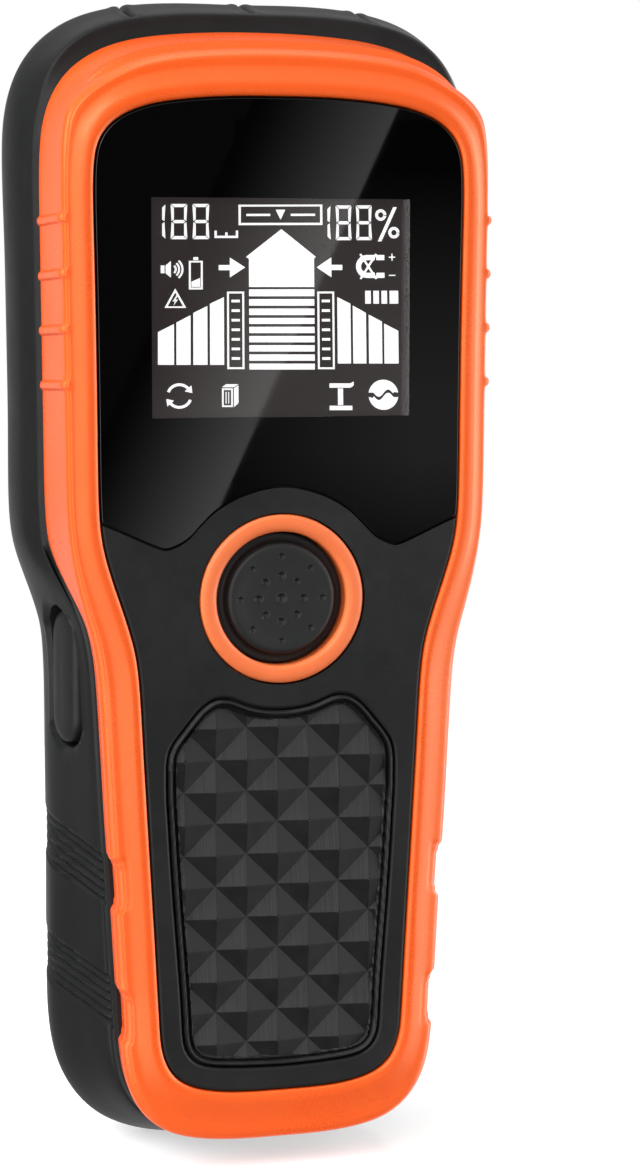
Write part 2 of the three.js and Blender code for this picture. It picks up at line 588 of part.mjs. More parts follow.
// ---------------------------------------------------------------- battery
// Upright piece on the battery's axis with a rounded section, standing on z = bottom.
const batteryPrism = (halfWidth, halfThick, radius, bottom, height) =>
  extrude(roundedRect(around(0, halfWidth), around(0, halfThick), radius, 4), height)
    .translate(0, yAt(BATTERY_AXIS), bottom + Z_SHIFT);
const batteryCan = () =>
  batteryPrism(BATTERY.width / 2, BATTERY.thickness / 2, 2.6, BATTERY.bottom, BATTERY.height);
const batterySnap = () => solid(batteryPrism(12.6, 6.2, 5, BATTERY_TOP + 2.3, 2.4));
const batteryStud = (x, radius, segments) =>
  new THREE.CylinderGeometry(radius, radius, 2, segments)
    .rotateX(Math.PI / 2)
    .translate(x, yAt(BATTERY_AXIS), BATTERY_TOP + 1.1 + Z_SHIFT);
const batteryFoam = () => block([-8, 8], [28.25, 29.7], [-58, -36]);

// Wire from the snap towards the main board: (distance from centre, depth, z).
const WIRE_PATH = [
  [4, 17.5, -21.7], [4.5, 17, -19.5], [6, 15.5, -16], [7, 14.6, -12.5], [7.2, 13.2, -10.2],
];
function wire(side) {
  const radius = 0.75;
  const extrudePath = new THREE.CatmullRomCurve3(WIRE_PATH.map(([x, depth, z]) =>
    new THREE.Vector3(side * x, yAt(depth), z + Z_SHIFT)));
  const section = shapeOf(Array.from({ length: 8 }, (_, i) =>
    [radius * Math.cos(i * Math.PI / 4), radius * Math.sin(i * Math.PI / 4)]));
  return new THREE.ExtrudeGeometry(section, { steps: 14, bevelEnabled: false, extrudePath });
}

// ---------------------------------------------------------------- screws
// Cross-slotted screw: the head's seat at y = 0, the shank towards -Y.
function screw({ shank, head, headHeight, length: shankLength }) {
  const body = solid(lathe([
    [0, -shankLength], [shank, -shankLength + 0.8], [shank, 0], [head, 0],
    [head, headHeight * 0.55], [head * 0.72, headHeight], [0, headHeight],
  ], 10));
  const slotLength = head * 1.15, slotWidth = 0.42;
  return cut(body,
    new THREE.BoxGeometry(slotLength, headHeight, slotWidth).translate(0, headHeight, 0),
    new THREE.BoxGeometry(slotWidth, headHeight, slotLength).translate(0, headHeight, 0));
}
const housingScrew = () => screw({ shank: 1.05, head: 2.0, headHeight: 1.5, length: 21.5 });
const boardScrew = () => screw({ shank: 0.9, head: 1.8, headHeight: 1.2, length: 6.4 });
const sensorScrew = () => screw({ shank: 0.9, head: 1.8, headHeight: 1.2, length: 2.6 });

// ---------------------------------------------------------------- materials
const ORANGE = 0xff641e;
const FINISH = {
  bumper: { color: ORANGE, roughness: 0.55 },
  ring: { color: ORANGE, roughness: 0.5 },
  housing: { color: 0x2b2c2e, roughness: 0.6 },
  window: { color: 0x08080a, roughness: 0.05 },
  pad: { color: 0x303133, roughness: 0.75 },
  button: { color: 0x252628, roughness: 0.6 },
  label: { color: 0xb9bbbd, roughness: 0.5 },
  lcd: { color: 0x3b3433, roughness: 0.2 },
  backlight: { color: 0xf2f2ee, roughness: 0.4 },
  lcdFrame: { color: 0xd9d9d4, roughness: 0.5 },
  zebra: { color: 0x5c4a48, roughness: 0.8 },
  board: { color: 0x14502c, roughness: 0.45 },
  chip: { color: 0x161616, roughness: 0.5 },
  brightMetal: { color: 0xc9ccd0, roughness: 0.25, metalness: 1 },
  buzzer: { color: 0x1a1a1a, roughness: 0.45 },
  header: { color: 0x1c1c1c, roughness: 0.5 },
  switchBody: { color: 0x3a3a3a, roughness: 0.5 },
  redPlunger: { color: 0x8c2f22, roughness: 0.5 },
  whitePlunger: { color: 0xe8e6df, roughness: 0.5 },
  copper: { color: 0xb5612e, roughness: 0.35, metalness: 1 },
  core: { color: 0x3b3b3d, roughness: 0.7 },
  battery: { color: 0xb8bcc0, roughness: 0.35, metalness: 0.8 },
  snap: { color: 0x1b1b1b, roughness: 0.6 },
  redWire: { color: 0xb01818, roughness: 0.45 },
  blackWire: { color: 0x151515, roughness: 0.45 },
  foam: { color: 0x55565a, roughness: 0.95 },
  housingScrew: { color: 0x8d9094, roughness: 0.3, metalness: 1 },
  smallScrew: { color: 0x9a9da1, roughness: 0.3, metalness: 1 },
};

// ---------------------------------------------------------------- assembly
const group = new THREE.Group();
function add(name, shape, finish) {
  const geometry = shape.isBufferGeometry ? clean(shape) : surface(shape);
  const mesh = new THREE.Mesh(geometry, new THREE.MeshStandardMaterial(finish));
  mesh.name = name;
  group.add(mesh);
  return mesh;
}
function addScrews(name, shape, finish, places, seatDepth, turn = 0) {
  places.forEach(([x, z], i) => {
    const mesh = add(`${name}_${i + 1}`, shape, finish);
    mesh.position.set(x, yAt(seatDepth), z + Z_SHIFT);
    mesh.rotation.x = turn;
  });
}

add('bumper_frame', bumperFrame(), FINISH.bumper);
add('front_shell', frontShell(), FINISH.housing);
add('rear_shell', rearShell(), FINISH.housing);
add('display_window', displayWindow(), FINISH.window);
add('grip_pad', gripPad(), FINISH.pad);
add('button_ring', buttonRing(), FINISH.ring);
add('main_button', mainButton(), FINISH.button);
add('side_button', sideButton(), FINISH.button);
add('battery_door', batteryDoor(), FINISH.housing);
add('rating_label', ratingLabel(), FINISH.label);

add('lcd_panel', lcdPanel(), FINISH.lcd);
add('lcd_backlight', lcdBacklight(), FINISH.backlight);
add('lcd_frame', lcdFrame(), FINISH.lcdFrame);
add('zebra_strip', zebraStrip(), FINISH.zebra);

add('main_board', mainBoard(), FINISH.board);
add('controller_chip', controllerChip(), FINISH.chip);
add('memory_chip', memoryChip(), FINISH.chip);
add('crystal', crystal(), FINISH.brightMetal);
add('buzzer', buzzer(), FINISH.buzzer);
add('board_header', boardHeader(), FINISH.header);
add('main_switch_body', mainSwitchBody(), FINISH.switchBody);
add('main_switch_plunger', mainSwitchPlunger(), FINISH.redPlunger);
add('side_switch_body', sideSwitchBody(), FINISH.switchBody);
add('side_switch_plunger', sideSwitchPlunger(), FINISH.whitePlunger);

add('sensor_board', sensorBoard(), FINISH.board);
add('analog_chip', analogChip(), FINISH.chip);
add('metal_coil', metalCoil(), FINISH.copper);
add('coil_core', coilCore(), FINISH.core);

add('battery_9v', batteryCan(), FINISH.battery);
add('battery_positive_stud', batteryStud(-6.35, 2.8, 16), FINISH.brightMetal);
add('battery_negative_stud', batteryStud(6.35, 4.0, 12), FINISH.brightMetal);
add('battery_snap', batterySnap(), FINISH.snap);
add('red_wire', wire(-1), FINISH.redWire);
add('black_wire', wire(1), FINISH.blackWire);
add('battery_foam', batteryFoam(), FINISH.foam);

addScrews('housing_screw', housingScrew(), FINISH.housingScrew, HOUSING_SCREWS, 27.05);
addScrews('board_screw', boardScrew(), FINISH.smallScrew, BOARD_SCREWS, MAIN_BOARD[1] + 0.1);
// The sensor board's screws go in from the front, so they are turned over.
addScrews('sensor_screw', sensorScrew(), FINISH.smallScrew, SENSOR_SCREWS,
  SENSOR_BOARD[0] - 0.1, Math.PI);

export default group;
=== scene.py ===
"""Stud finder: the looks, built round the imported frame.

Lengths in this script are millimetres in the row frame (x right, y = depth - 32, z up) and become metres
when a mesh is made. d is depth behind the front plane, from 0 at the bumper's bead to 32 at the sensing face.
"""

import math

import bmesh
import bpy
import numpy as np
from mathutils import Matrix, Vector


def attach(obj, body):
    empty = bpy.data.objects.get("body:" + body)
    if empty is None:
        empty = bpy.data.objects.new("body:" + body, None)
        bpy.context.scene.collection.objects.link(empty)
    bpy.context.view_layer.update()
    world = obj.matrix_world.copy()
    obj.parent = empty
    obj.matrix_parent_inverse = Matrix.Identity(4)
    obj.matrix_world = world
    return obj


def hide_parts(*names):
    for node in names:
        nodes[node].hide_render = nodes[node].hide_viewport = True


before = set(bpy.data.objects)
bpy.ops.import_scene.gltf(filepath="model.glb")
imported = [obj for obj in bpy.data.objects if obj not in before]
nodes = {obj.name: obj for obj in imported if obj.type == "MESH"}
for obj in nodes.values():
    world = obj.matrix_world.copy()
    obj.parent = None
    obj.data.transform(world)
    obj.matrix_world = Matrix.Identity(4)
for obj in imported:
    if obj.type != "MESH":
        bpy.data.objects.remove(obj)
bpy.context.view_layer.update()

# ------------------------------------------------------------------ dimensions shared with the CAD
THICK, ZS = 32.0, 0.65
INNER_EDGE = [(0, 66.93), (8.01, 66.85), (16.42, 66.03), (20.56, 64.93), (23.68, 63.19), (25.72, 60.39), (26.3, 56.03),
  (26.22, 48), (26.02, 36), (25.89, 22), (25.75, 9.99), (25.18, 5.77), (24.14, 1.95), (22.87, -1.8),
  (21.79, -5.11), (20.86, -8.53), (20.3, -12.7), (19.8, -21.99), (19.3, -31), (18.81, -40.01), (18.35, -48.01),
  (17.73, -59.81), (17.37, -64.39), (16.02, -67.61), (14.03, -69.31), (11.57, -70.29), (8.04, -70.9), (4.01, -71.1),
  (0, -71.11)]
BUMPER_EDGE = [(0, 76.5), (8.97, 76.25), (17, 75.4), (22.75, 73.63), (27.5, 70.17), (30.26, 64.72), (30.95, 58.02),
  (30.9, 48), (30.8, 36), (30.65, 22), (30.5, 9.99), (29.92, 4.96), (28.61, 0.53), (27.28, -3.1),
  (26.09, -6.89), (25.4, -11.03), (25.05, -16.01), (24.6, -24), (24.15, -33.01), (23.54, -42.01), (23.1, -50.01),
  (22.64, -58.01), (22.35, -64.03), (21.47, -69.47), (19.27, -73.58), (16.03, -76.14), (11.58, -77.44), (6.02, -77.95),
  (0, -77.96)]
SHELL_EDGE = [(0, 81.1), (9.63, 81.2), (18.62, 80.37), (25.61, 78.05), (30.92, 73.24), (33.5, 66.39), (33.95, 58.8),
  (33.68, 48), (33.54, 36), (33.39, 22.01), (33.45, 10), (32.82, 4.57), (31.27, -0.02), (30, -3.6),
  (28.95, -7.37), (28.63, -11.49), (28.5, -16), (28.49, -24.5), (28.44, -33.5), (28.43, -42.5), (28.5, -50.5),
  (28.47, -58.99), (28.25, -65.48), (27.1, -71.3), (24.42, -76.14), (20.6, -79.6), (14.2, -81.9), (7, -82.35),
  (0, -82.4)]
WINDOW_SEAM = [(25.4, 9.0), (22.8, 7.9), (20.6, 6.9), (18.3, 5.9), (16.6, 5.35), (15.4, 5.6), (13.5, 6.6),
  (11.5, 8.6), (9.4, 10.5), (5.4, 12.6), (0, 13.7)]
PAD_EDGE = [(0, -17.17), (2.2, -17.02), (4.3, -16.62), (5.8, -16.05), (7.2, -15.47), (8.6, -15.3), (9.8, -15.5),
  (10.8, -16.05), (11.7, -16.75), (12.75, -17.9), (14.1, -19.55), (15.15, -20.85), (15.8, -21.85), (16.2, -22.95),
  (16.38, -24.4), (16.4, -26.5), (16.38, -29.2), (16.2, -32.1), (15.7, -41), (15.1, -49), (14.5, -57),
  (14.35, -60), (14.25, -62.15), (14.05, -63.7), (13.55, -65), (12.8, -65.9), (11.9, -66.5), (10.6, -66.95),
  (8.8, -67.2), (5.9, -67.42), (3, -67.55), (0, -67.6)]
BUTTON_Z = -1.7
SIDE_Z, SIDE_D, SIDE_TAN = -13.5, 16.4, 3.35 / 16.2
LCD_X, LCD_Z0, LCD_Z1 = 18.35, 23.4, 53.2          # lit area
HOUSING_SCREWS = [(-19.0, 62.6), (19.0, 62.6), (-17.0, -66.0), (17.0, -66.0)]
PCB_SCREWS = [(-13.0, 60.6), (13.0, 60.6), (-22.8, 14.0), (22.8, 14.0)]
DOOR = dict(x=14.0, z0=-73.9, z1=-18.2)


def smooth(a, b, v):
    t = np.clip((np.asarray(v, float) - a) / (b - a), 0, 1)
    return t * t * (3 - 2 * t)


def lerp(a, b, t):
    return a + (b - a) * t


def headness(z):
    return smooth(-6, 7, z)


def edge_depth(z):
    return lerp(6.0, 14.0, headness(z))


# ------------------------------------------------------------------ outlines
PER = 80  # samples per control interval


def loop_of(half):
    return np.array(list(half) + [(-x, z) for x, z in half[-2:0:-1]], float)


def catmull(points, u, closed=True):
    """Centripetal Catmull-Rom through points at positions u, in control steps."""
    n = len(points)
    i = np.floor(u).astype(int)
    t = (u - i)[:, None]
    if closed:
        p0, p1, p2, p3 = (points[(i + k) % n] for k in (-1, 0, 1, 2))
    else:
        i = np.clip(i, 0, n - 2)
        t = (u - i)[:, None]
        ext = np.vstack([2 * points[0] - points[1], points, 2 * points[-1] - points[-2]])
        p0, p1, p2, p3 = (ext[i + k] for k in (0, 1, 2, 3))
    d0, d1, d2 = (np.maximum(np.linalg.norm(b - a, axis=1), 1e-9)[:, None] ** 0.5 for a, b in ((p0, p1), (p1, p2), (p2, p3)))
    t1 = ((p1 - p0) / d0 - (p2 - p0) / (d0 + d1) + (p2 - p1) / d1) * d1
    t2 = ((p2 - p1) / d1 - (p3 - p1) / (d1 + d2) + (p3 - p2) / d2) * d1
    return (2 * p1 - 2 * p2 + t1 + t2) * t**3 + (-3 * p1 + 3 * p2 - 2 * t1 - t2) * t**2 + t1 * t + p1


def blur_loop(a, sigma):
    r = int(sigma * 4)
    k = np.exp(-0.5 * (np.arange(-r, r + 1) / sigma) ** 2)
    k /= k.sum()
    ext = np.concatenate([a[-r:], a, a[:r]])
    return np.stack([np.convolve(ext[:, c], k, "valid") for c in range(a.shape[1])], 1)


class Outline:
    """A closed outline sampled finely; xz(u) and normal(u) read it at control positions u."""

    def __init__(self, half, soften=0.33):
        pts = loop_of(half)
        self.n = len(pts)
        u = np.arange(self.n * PER) / PER
        self.p = catmull(pts, u)
        if soften:
            self.p = blur_loop(self.p, soften * PER)
        t = np.roll(self.p, -1, 0) - np.roll(self.p, 1, 0)
        t /= np.linalg.norm(t, axis=1)[:, None]
        self.nrm = np.stack([-t[:, 1], t[:, 0]], 1)      # outward for a clockwise loop seen from the front
        area = 0.5 * np.sum(self.p[:, 0] * np.roll(self.p[:, 1], -1) - np.roll(self.p[:, 0], -1) * self.p[:, 1])
        if area > 0:
            self.nrm *= -1

    def _at(self, a, u):
        x = (np.asarray(u) % self.n) * PER
        i = np.floor(x).astype(int)
        t = (x - i)[:, None]
        m = len(a)
        return a[i % m] * (1 - t) + a[(i + 1) % m] * t

    def xz(self, u, out=0.0):
        return self._at(self.p, u) + self._at(self.nrm, u) * (np.asarray(out)[..., None] if np.ndim(out) else out)

    def normal(self, u):
        return self._at(self.nrm, u)


INNER, BUMPER, SHELL = Outline(INNER_EDGE), Outline(BUMPER_EDGE), Outline(SHELL_EDGE)
PAD = Outline(PAD_EDGE, 0.35)


def spread(outline, step):
    """Positions round an outline. step(x, z) gives the wanted spacing in mm at each place."""
    fine = np.arange(outline.n * PER) / PER
    p = outline.p
    ds = np.linalg.norm(np.roll(p, -1, 0) - p, axis=1)
    w = ds / step(p[:, 0], p[:, 1])
    c = np.concatenate([[0], np.cumsum(w)])
    n = int(math.ceil(c[-1] / 2) * 2)
    return np.interp(np.arange(n) * c[-1] / n, c, np.append(fine, outline.n))


# ------------------------------------------------------------------ mesh helpers
def make(name, verts, faces, body="housing", slot=None, smooth_angle=35, replaces=()):
    """A mesh object from millimetre vertices in the row frame."""
    me = bpy.data.meshes.new(name)
    me.from_pydata([tuple(v) for v in np.asarray(verts, float) / 1000.0], [], [tuple(int(i) for i in f) for f in faces])
    me.validate()
    ob = bpy.data.objects.new(name, me)
    bpy.context.scene.collection.objects.link(ob)
    outward(ob)
    if smooth_angle is not None:
        shade(ob, smooth_angle)
    if body:
        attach(ob, body)
    if replaces:
        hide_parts(*replaces)
    return ob


def outward(ob):
    bm = bmesh.new()
    bm.from_mesh(ob.data)
    bmesh.ops.remove_doubles(bm, verts=bm.verts, dist=1e-7)
    bmesh.ops.recalc_face_normals(bm, faces=bm.faces)
    bm.to_mesh(ob.data)
    bm.free()


FLAT_AREA = 12e-6   # faces larger than this, in square metres, are flat panels


def shade(ob, angle=35):
    """Smooth shading with the edges sharper than angle kept sharp."""
    bm = bmesh.new()
    bm.from_mesh(ob.data)
    lim = math.radians(angle)
    for f in bm.faces:
        f.smooth = True
    flat = set(f.index for f in bm.faces if f.calc_area() > FLAT_AREA)
    for e in bm.edges:
        e.smooth = not (len(e.link_faces) == 2 and (e.calc_face_angle(0) > lim or (e.calc_face_angle(0) > 0.002 and any(f.index in flat for f in e.link_faces))))
    bm.to_mesh(ob.data)
    bm.free()


def grid_faces(rows, cols, close_rows=False, base=0):
    j, i = np.meshgrid(np.arange(rows if close_rows else rows - 1), np.arange(cols), indexing="ij")
    a = j * cols + i
    b = j * cols + (i + 1) % cols
    c = ((j + 1) % rows) * cols + (i + 1) % cols
    d = ((j + 1) % rows) * cols + i
    return (np.stack([a, b, c, d], -1).reshape(-1, 4) + base).tolist()


def loft(name, rings, closed=False, **kw):
    """Closed surface through rings, an array (rows, columns, 3)."""
    rings = np.asarray(rings, float)
    m, n = rings.shape[:2]
    faces = grid_faces(m, n, closed)
    if not closed:
        faces += [list(range(n)), list(range((m - 1) * n, m * n))]
    return make(name, rings.reshape(-1, 3), faces, **kw)


def ring_at(xz, d):
    xz = np.asarray(xz, float)
    dd = np.broadcast_to(np.asarray(d, float), (len(xz),))
    return np.stack([xz[:, 0], dd - THICK, xz[:, 1] + ZS], 1)


def sweep(ctrl, counts):
    """Catmull-Rom through control rows ctrl (C, N, k), counts[i] steps in each gap. A count of 1 keeps a straight step."""
    ctrl = np.asarray(ctrl, float)
    C = len(ctrl)
    out = [ctrl[0]]
    for i, m in enumerate(counts):
        p1, p2 = ctrl[i], ctrl[i + 1]
        p0 = ctrl[i - 1] if i > 0 else 2 * p1 - p2
        p3 = ctrl[i + 2] if i + 2 < C else 2 * p2 - p1
        l0, l1, l2 = (np.maximum(np.linalg.norm(b - a, axis=-1, keepdims=True), 1e-6) ** 0.5 for a, b in ((p0, p1), (p1, p2), (p2, p3)))
        t1 = ((p1 - p0) / l0 - (p2 - p0) / (l0 + l1) + (p2 - p1) / l1) * l1
        t2 = ((p2 - p1) / l1 - (p3 - p1) / (l1 + l2) + (p3 - p2) / l2) * l1
        for k in range(1, m + 1):
            t = k / m
            out.append((2 * p1 - 2 * p2 + t1 + t2) * t**3 + (-3 * p1 + 3 * p2 - 2 * t1 - t2) * t**2 + t1 * t + p1)
    return np.array(out)


def prism(points, d0, d1, name="cutter", bevel=0.0):
    """Plain prism with an (x, z) outline, used to cut and join. Not shown itself."""
    pts = np.asarray(points, float)
    n = len(pts)
    v = np.vstack([ring_at(pts, d0), ring_at(pts, d1)])
    f = [[i, (i + 1) % n, n + (i + 1) % n, n + i] for i in range(n)] + [list(range(n)), list(range(n, 2 * n))]
    return make(name, v, f, body=None, smooth_angle=None)


def circle(x, z, r, n=48):
    a = np.arange(n) * 2 * math.pi / n
    return np.stack([x + r * np.cos(a), z + r * np.sin(a)], 1)


def rounded(x0, x1, z0, z1, r, seg=8):
    pts = []
    for cx, cz, a0 in ((x1 - r, z1 - r, 0), (x0 + r, z1 - r, 90), (x0 + r, z0 + r, 180), (x1 - r, z0 + r, 270)):
        for i in range(seg + 1):
            a = math.radians(a0 + 90 * i / seg)
            pts.append((cx + r * math.cos(a), cz + r * math.sin(a)))
    return pts


def rect(x0, x1, z0, z1):
    return [(x0, z0), (x1, z0), (x1, z1), (x0, z1)]


def boolean(ob, op, cutters, keep=False):
    if not cutters:
        return
    col = bpy.data.collections.new("cut")
    bpy.context.scene.collection.children.link(col)
    for c in cutters:
        for k in list(c.users_collection):
            k.objects.unlink(c)
        col.objects.link(c)
    m = ob.modifiers.new("b", "BOOLEAN")
    m.operation = op
    m.operand_type = "COLLECTION"
    m.collection = col
    m.solver = "MANIFOLD"
    bpy.context.view_layer.update()
    dg = bpy.context.evaluated_depsgraph_get()
    me = bpy.data.meshes.new_from_object(ob.evaluated_get(dg), depsgraph=dg)
    ob.modifiers.remove(m)
    old = ob.data
    ob.data = me
    bpy.data.meshes.remove(old)
    for c in cutters:
        bpy.data.objects.remove(c)
    bpy.data.collections.remove(col)
    me.materials.clear()


def lathe(profile, seg, x=0.0, z=BUTTON_Z):
    """Vertices and faces of a turned piece about the Y line through (x, z). profile rows are (radius, d)."""
    prof = np.asarray(profile, float)
    a = np.arange(seg) * 2 * math.pi / seg
    rows = []
    for r, d in prof:
        rows.append(np.stack([x + r * np.cos(a), np.full(seg, d - THICK), z + ZS + r * np.sin(a)], 1))
    return np.array(rows)


def curve2(points, counts):
    """Smooth open profile through points with sharp corners where counts is 1."""
    c = np.asarray(points, float)[:, None, :]
    return sweep(c, counts)[:, 0, :]


# ------------------------------------------------------------------ materials
def tree(name):
    m = bpy.data.materials.new(name)
    m.use_nodes = True
    nt = m.node_tree
    nt.nodes.clear()
    out = nt.nodes.new("ShaderNodeOutputMaterial")
    return m, nt, out


def node(nt, kind, **kw):
    n = nt.nodes.new(kind)
    for k, v in kw.items():
        if k in n.inputs.keys():
            n.inputs[k].default_value = v
        else:
            setattr(n, k, v)
    return n


def noise(nt, vec, scale, detail=2.0, rough=0.5):
    n = node(nt, "ShaderNodeTexNoise")
    n.inputs["Scale"].default_value = scale
    n.inputs["Detail"].default_value = detail
    n.inputs["Roughness"].default_value = rough
    nt.links.new(vec, n.inputs["Vector"])
    return n.outputs["Fac"]


def maprange(nt, val, a, b, c, d):
    n = node(nt, "ShaderNodeMapRange")
    for k, v in zip(("From Min", "From Max", "To Min", "To Max"), (a, b, c, d)):
        n.inputs[k].default_value = v
    nt.links.new(val, n.inputs["Value"])
    return n.outputs["Result"]


def maths(nt, op, a, b=None):
    n = node(nt, "ShaderNodeMath", operation=op)
    for i, v in enumerate((a, b)):
        if v is None:
            continue
        if isinstance(v, (int, float)):
            n.inputs[i].default_value = v
        else:
            nt.links.new(v, n.inputs[i])
    return n.outputs[0]


def moulded(name, color, rough=0.5, grain=0.00003, grain_scale=5200, vary=0.08, wear=0.25, wear_color=None,
            spec=0.5, tint=None, rough_vary=0.08):
    """Moulded plastic or rubber: fine spark texture, cloudy roughness, slightly polished lighter edges and faint cloudy
    colour variation.
    """
    m, nt, out = tree(name)
    p = node(nt, "ShaderNodeBsdfPrincipled")
    nt.links.new(p.outputs[0], out.inputs[0])
    co = node(nt, "ShaderNodeTexCoord").outputs["Object"]
    big = noise(nt, co, 45, 3.0, 0.6)
    mid = noise(nt, co, 420, 3.0, 0.55)
    fine = noise(nt, co, grain_scale, 2.0, 0.6)
    geo = node(nt, "ShaderNodeNewGeometry")
    edge = maprange(nt, geo.outputs["Pointiness"], 0.51, 0.58, 0.0, 1.0)
    edge = maths(nt, "MULTIPLY", edge, maprange(nt, mid, 0.35, 0.65, 0.2, 1.0))
    c = node(nt, "ShaderNodeMix", data_type="RGBA")
    c.inputs["A"].default_value = (*[x * (1 - vary) for x in color], 1)
    c.inputs["B"].default_value = (*[min(1.0, x * (1 + vary)) for x in color], 1)
    nt.links.new(maprange(nt, mid, 0.3, 0.7, 0, 1), c.inputs["Factor"])
    w = node(nt, "ShaderNodeMix", data_type="RGBA")
    nt.links.new(c.outputs["Result"], w.inputs["A"])
    w.inputs["B"].default_value = (*(wear_color or [min(1.0, x * 1.6 + 0.015) for x in color]), 1)
    nt.links.new(maths(nt, "MULTIPLY", edge, wear), w.inputs["Factor"])
    nt.links.new(w.outputs["Result"], p.inputs["Base Color"])
    r = maths(nt, "ADD", maprange(nt, big, 0.3, 0.7, rough - rough_vary, rough + rough_vary), maprange(nt, fine, 0.3, 0.7, -0.04, 0.04))
    r = maths(nt, "SUBTRACT", r, maths(nt, "MULTIPLY", edge, 0.08))
    nt.links.new(r, p.inputs["Roughness"])
    p.inputs["Specular IOR Level"].default_value = spec
    if tint:
        p.inputs["Specular Tint"].default_value = (*tint, 1)
    b = node(nt, "ShaderNodeBump")
    b.inputs["Distance"].default_value = grain
    b.inputs["Strength"].default_value = 0.6
    nt.links.new(fine, b.inputs["Height"])
    nt.links.new(b.outputs[0], p.inputs["Normal"])
    return m


def metal(name, color, rough=0.3, brushed=(1, 1, 1), bump=0.00001):
    m, nt, out = tree(name)
    p = node(nt, "ShaderNodeBsdfPrincipled")
    nt.links.new(p.outputs[0], out.inputs[0])
    co = node(nt, "ShaderNodeTexCoord").outputs["Object"]
    mp = node(nt, "ShaderNodeMapping")
    mp.inputs["Scale"].default_value = brushed
    nt.links.new(co, mp.inputs["Vector"])
    f = noise(nt, mp.outputs[0], 900, 4.0, 0.6)
    big = noise(nt, co, 120, 3.0, 0.5)
    mix = node(nt, "ShaderNodeMix", data_type="RGBA")
    mix.inputs["A"].default_value = (*[x * 0.86 for x in color], 1)
    mix.inputs["B"].default_value = (*color, 1)
    nt.links.new(f, mix.inputs["Factor"])
    nt.links.new(mix.outputs["Result"], p.inputs["Base Color"])
    p.inputs["Metallic"].default_value = 1.0
    nt.links.new(maths(nt, "ADD", maprange(nt, big, 0.3, 0.7, rough - 0.07, rough + 0.07), maprange(nt, f, 0.3, 0.7, -0.05, 0.05)), p.inputs["Roughness"])
    b = node(nt, "ShaderNodeBump")
    b.inputs["Distance"].default_value = bump
    nt.links.new(f, b.inputs["Height"])
    nt.links.new(b.outputs[0], p.inputs["Normal"])
    return m


def paint(ob, mat):
    ob.data.materials.clear()
    ob.data.materials.append(mat)


ORANGE = (1.0, 0.112, 0.0105)
CHAR = (0.0165, 0.0170, 0.0172)
M = {}
M["bumper"] = moulded("orange_rubber", ORANGE, rough=0.3, grain=0.00001, vary=0.03, wear=0.15, wear_color=(1.0, 0.18, 0.04), spec=1.0, rough_vary=0.04,
                       tint=(1.0, 0.8, 0.5))
M["shell"] = moulded("charcoal_plastic", (0.0102, 0.0106, 0.0108), rough=0.42, grain=0.000022, wear=0.3, spec=0.22)
M["panel"] = moulded("charcoal_front", (0.0145, 0.0150, 0.0150), rough=0.4, grain=0.000022, wear=0.3, spec=0.22)
M["button"] = moulded("button_rubber", (0.016, 0.0165, 0.0172), rough=0.5, grain=0.00002, wear=0.3, spec=0.25)
M["side"] = moulded("side_button_rubber", (0.0125, 0.0128, 0.0131), rough=0.45, grain=0.00002, wear=0.3, spec=0.26)
M["ring"] = moulded("orange_ring", (1.0, 0.205, 0.058), rough=0.4, grain=0.000012, vary=0.03, wear=0.2, wear_color=(1.0, 0.26, 0.07), spec=0.5)


# ------------------------------------------------------------------ orange bumper
RIBS = (50.3, 42.8, 35.3, 27.8)
NOTCHES = ((-44.6, -37.4), (-63.1, -55.9))


def near(z, centres, half):
    return np.min([np.abs(z - c) for c in centres], 0) < half


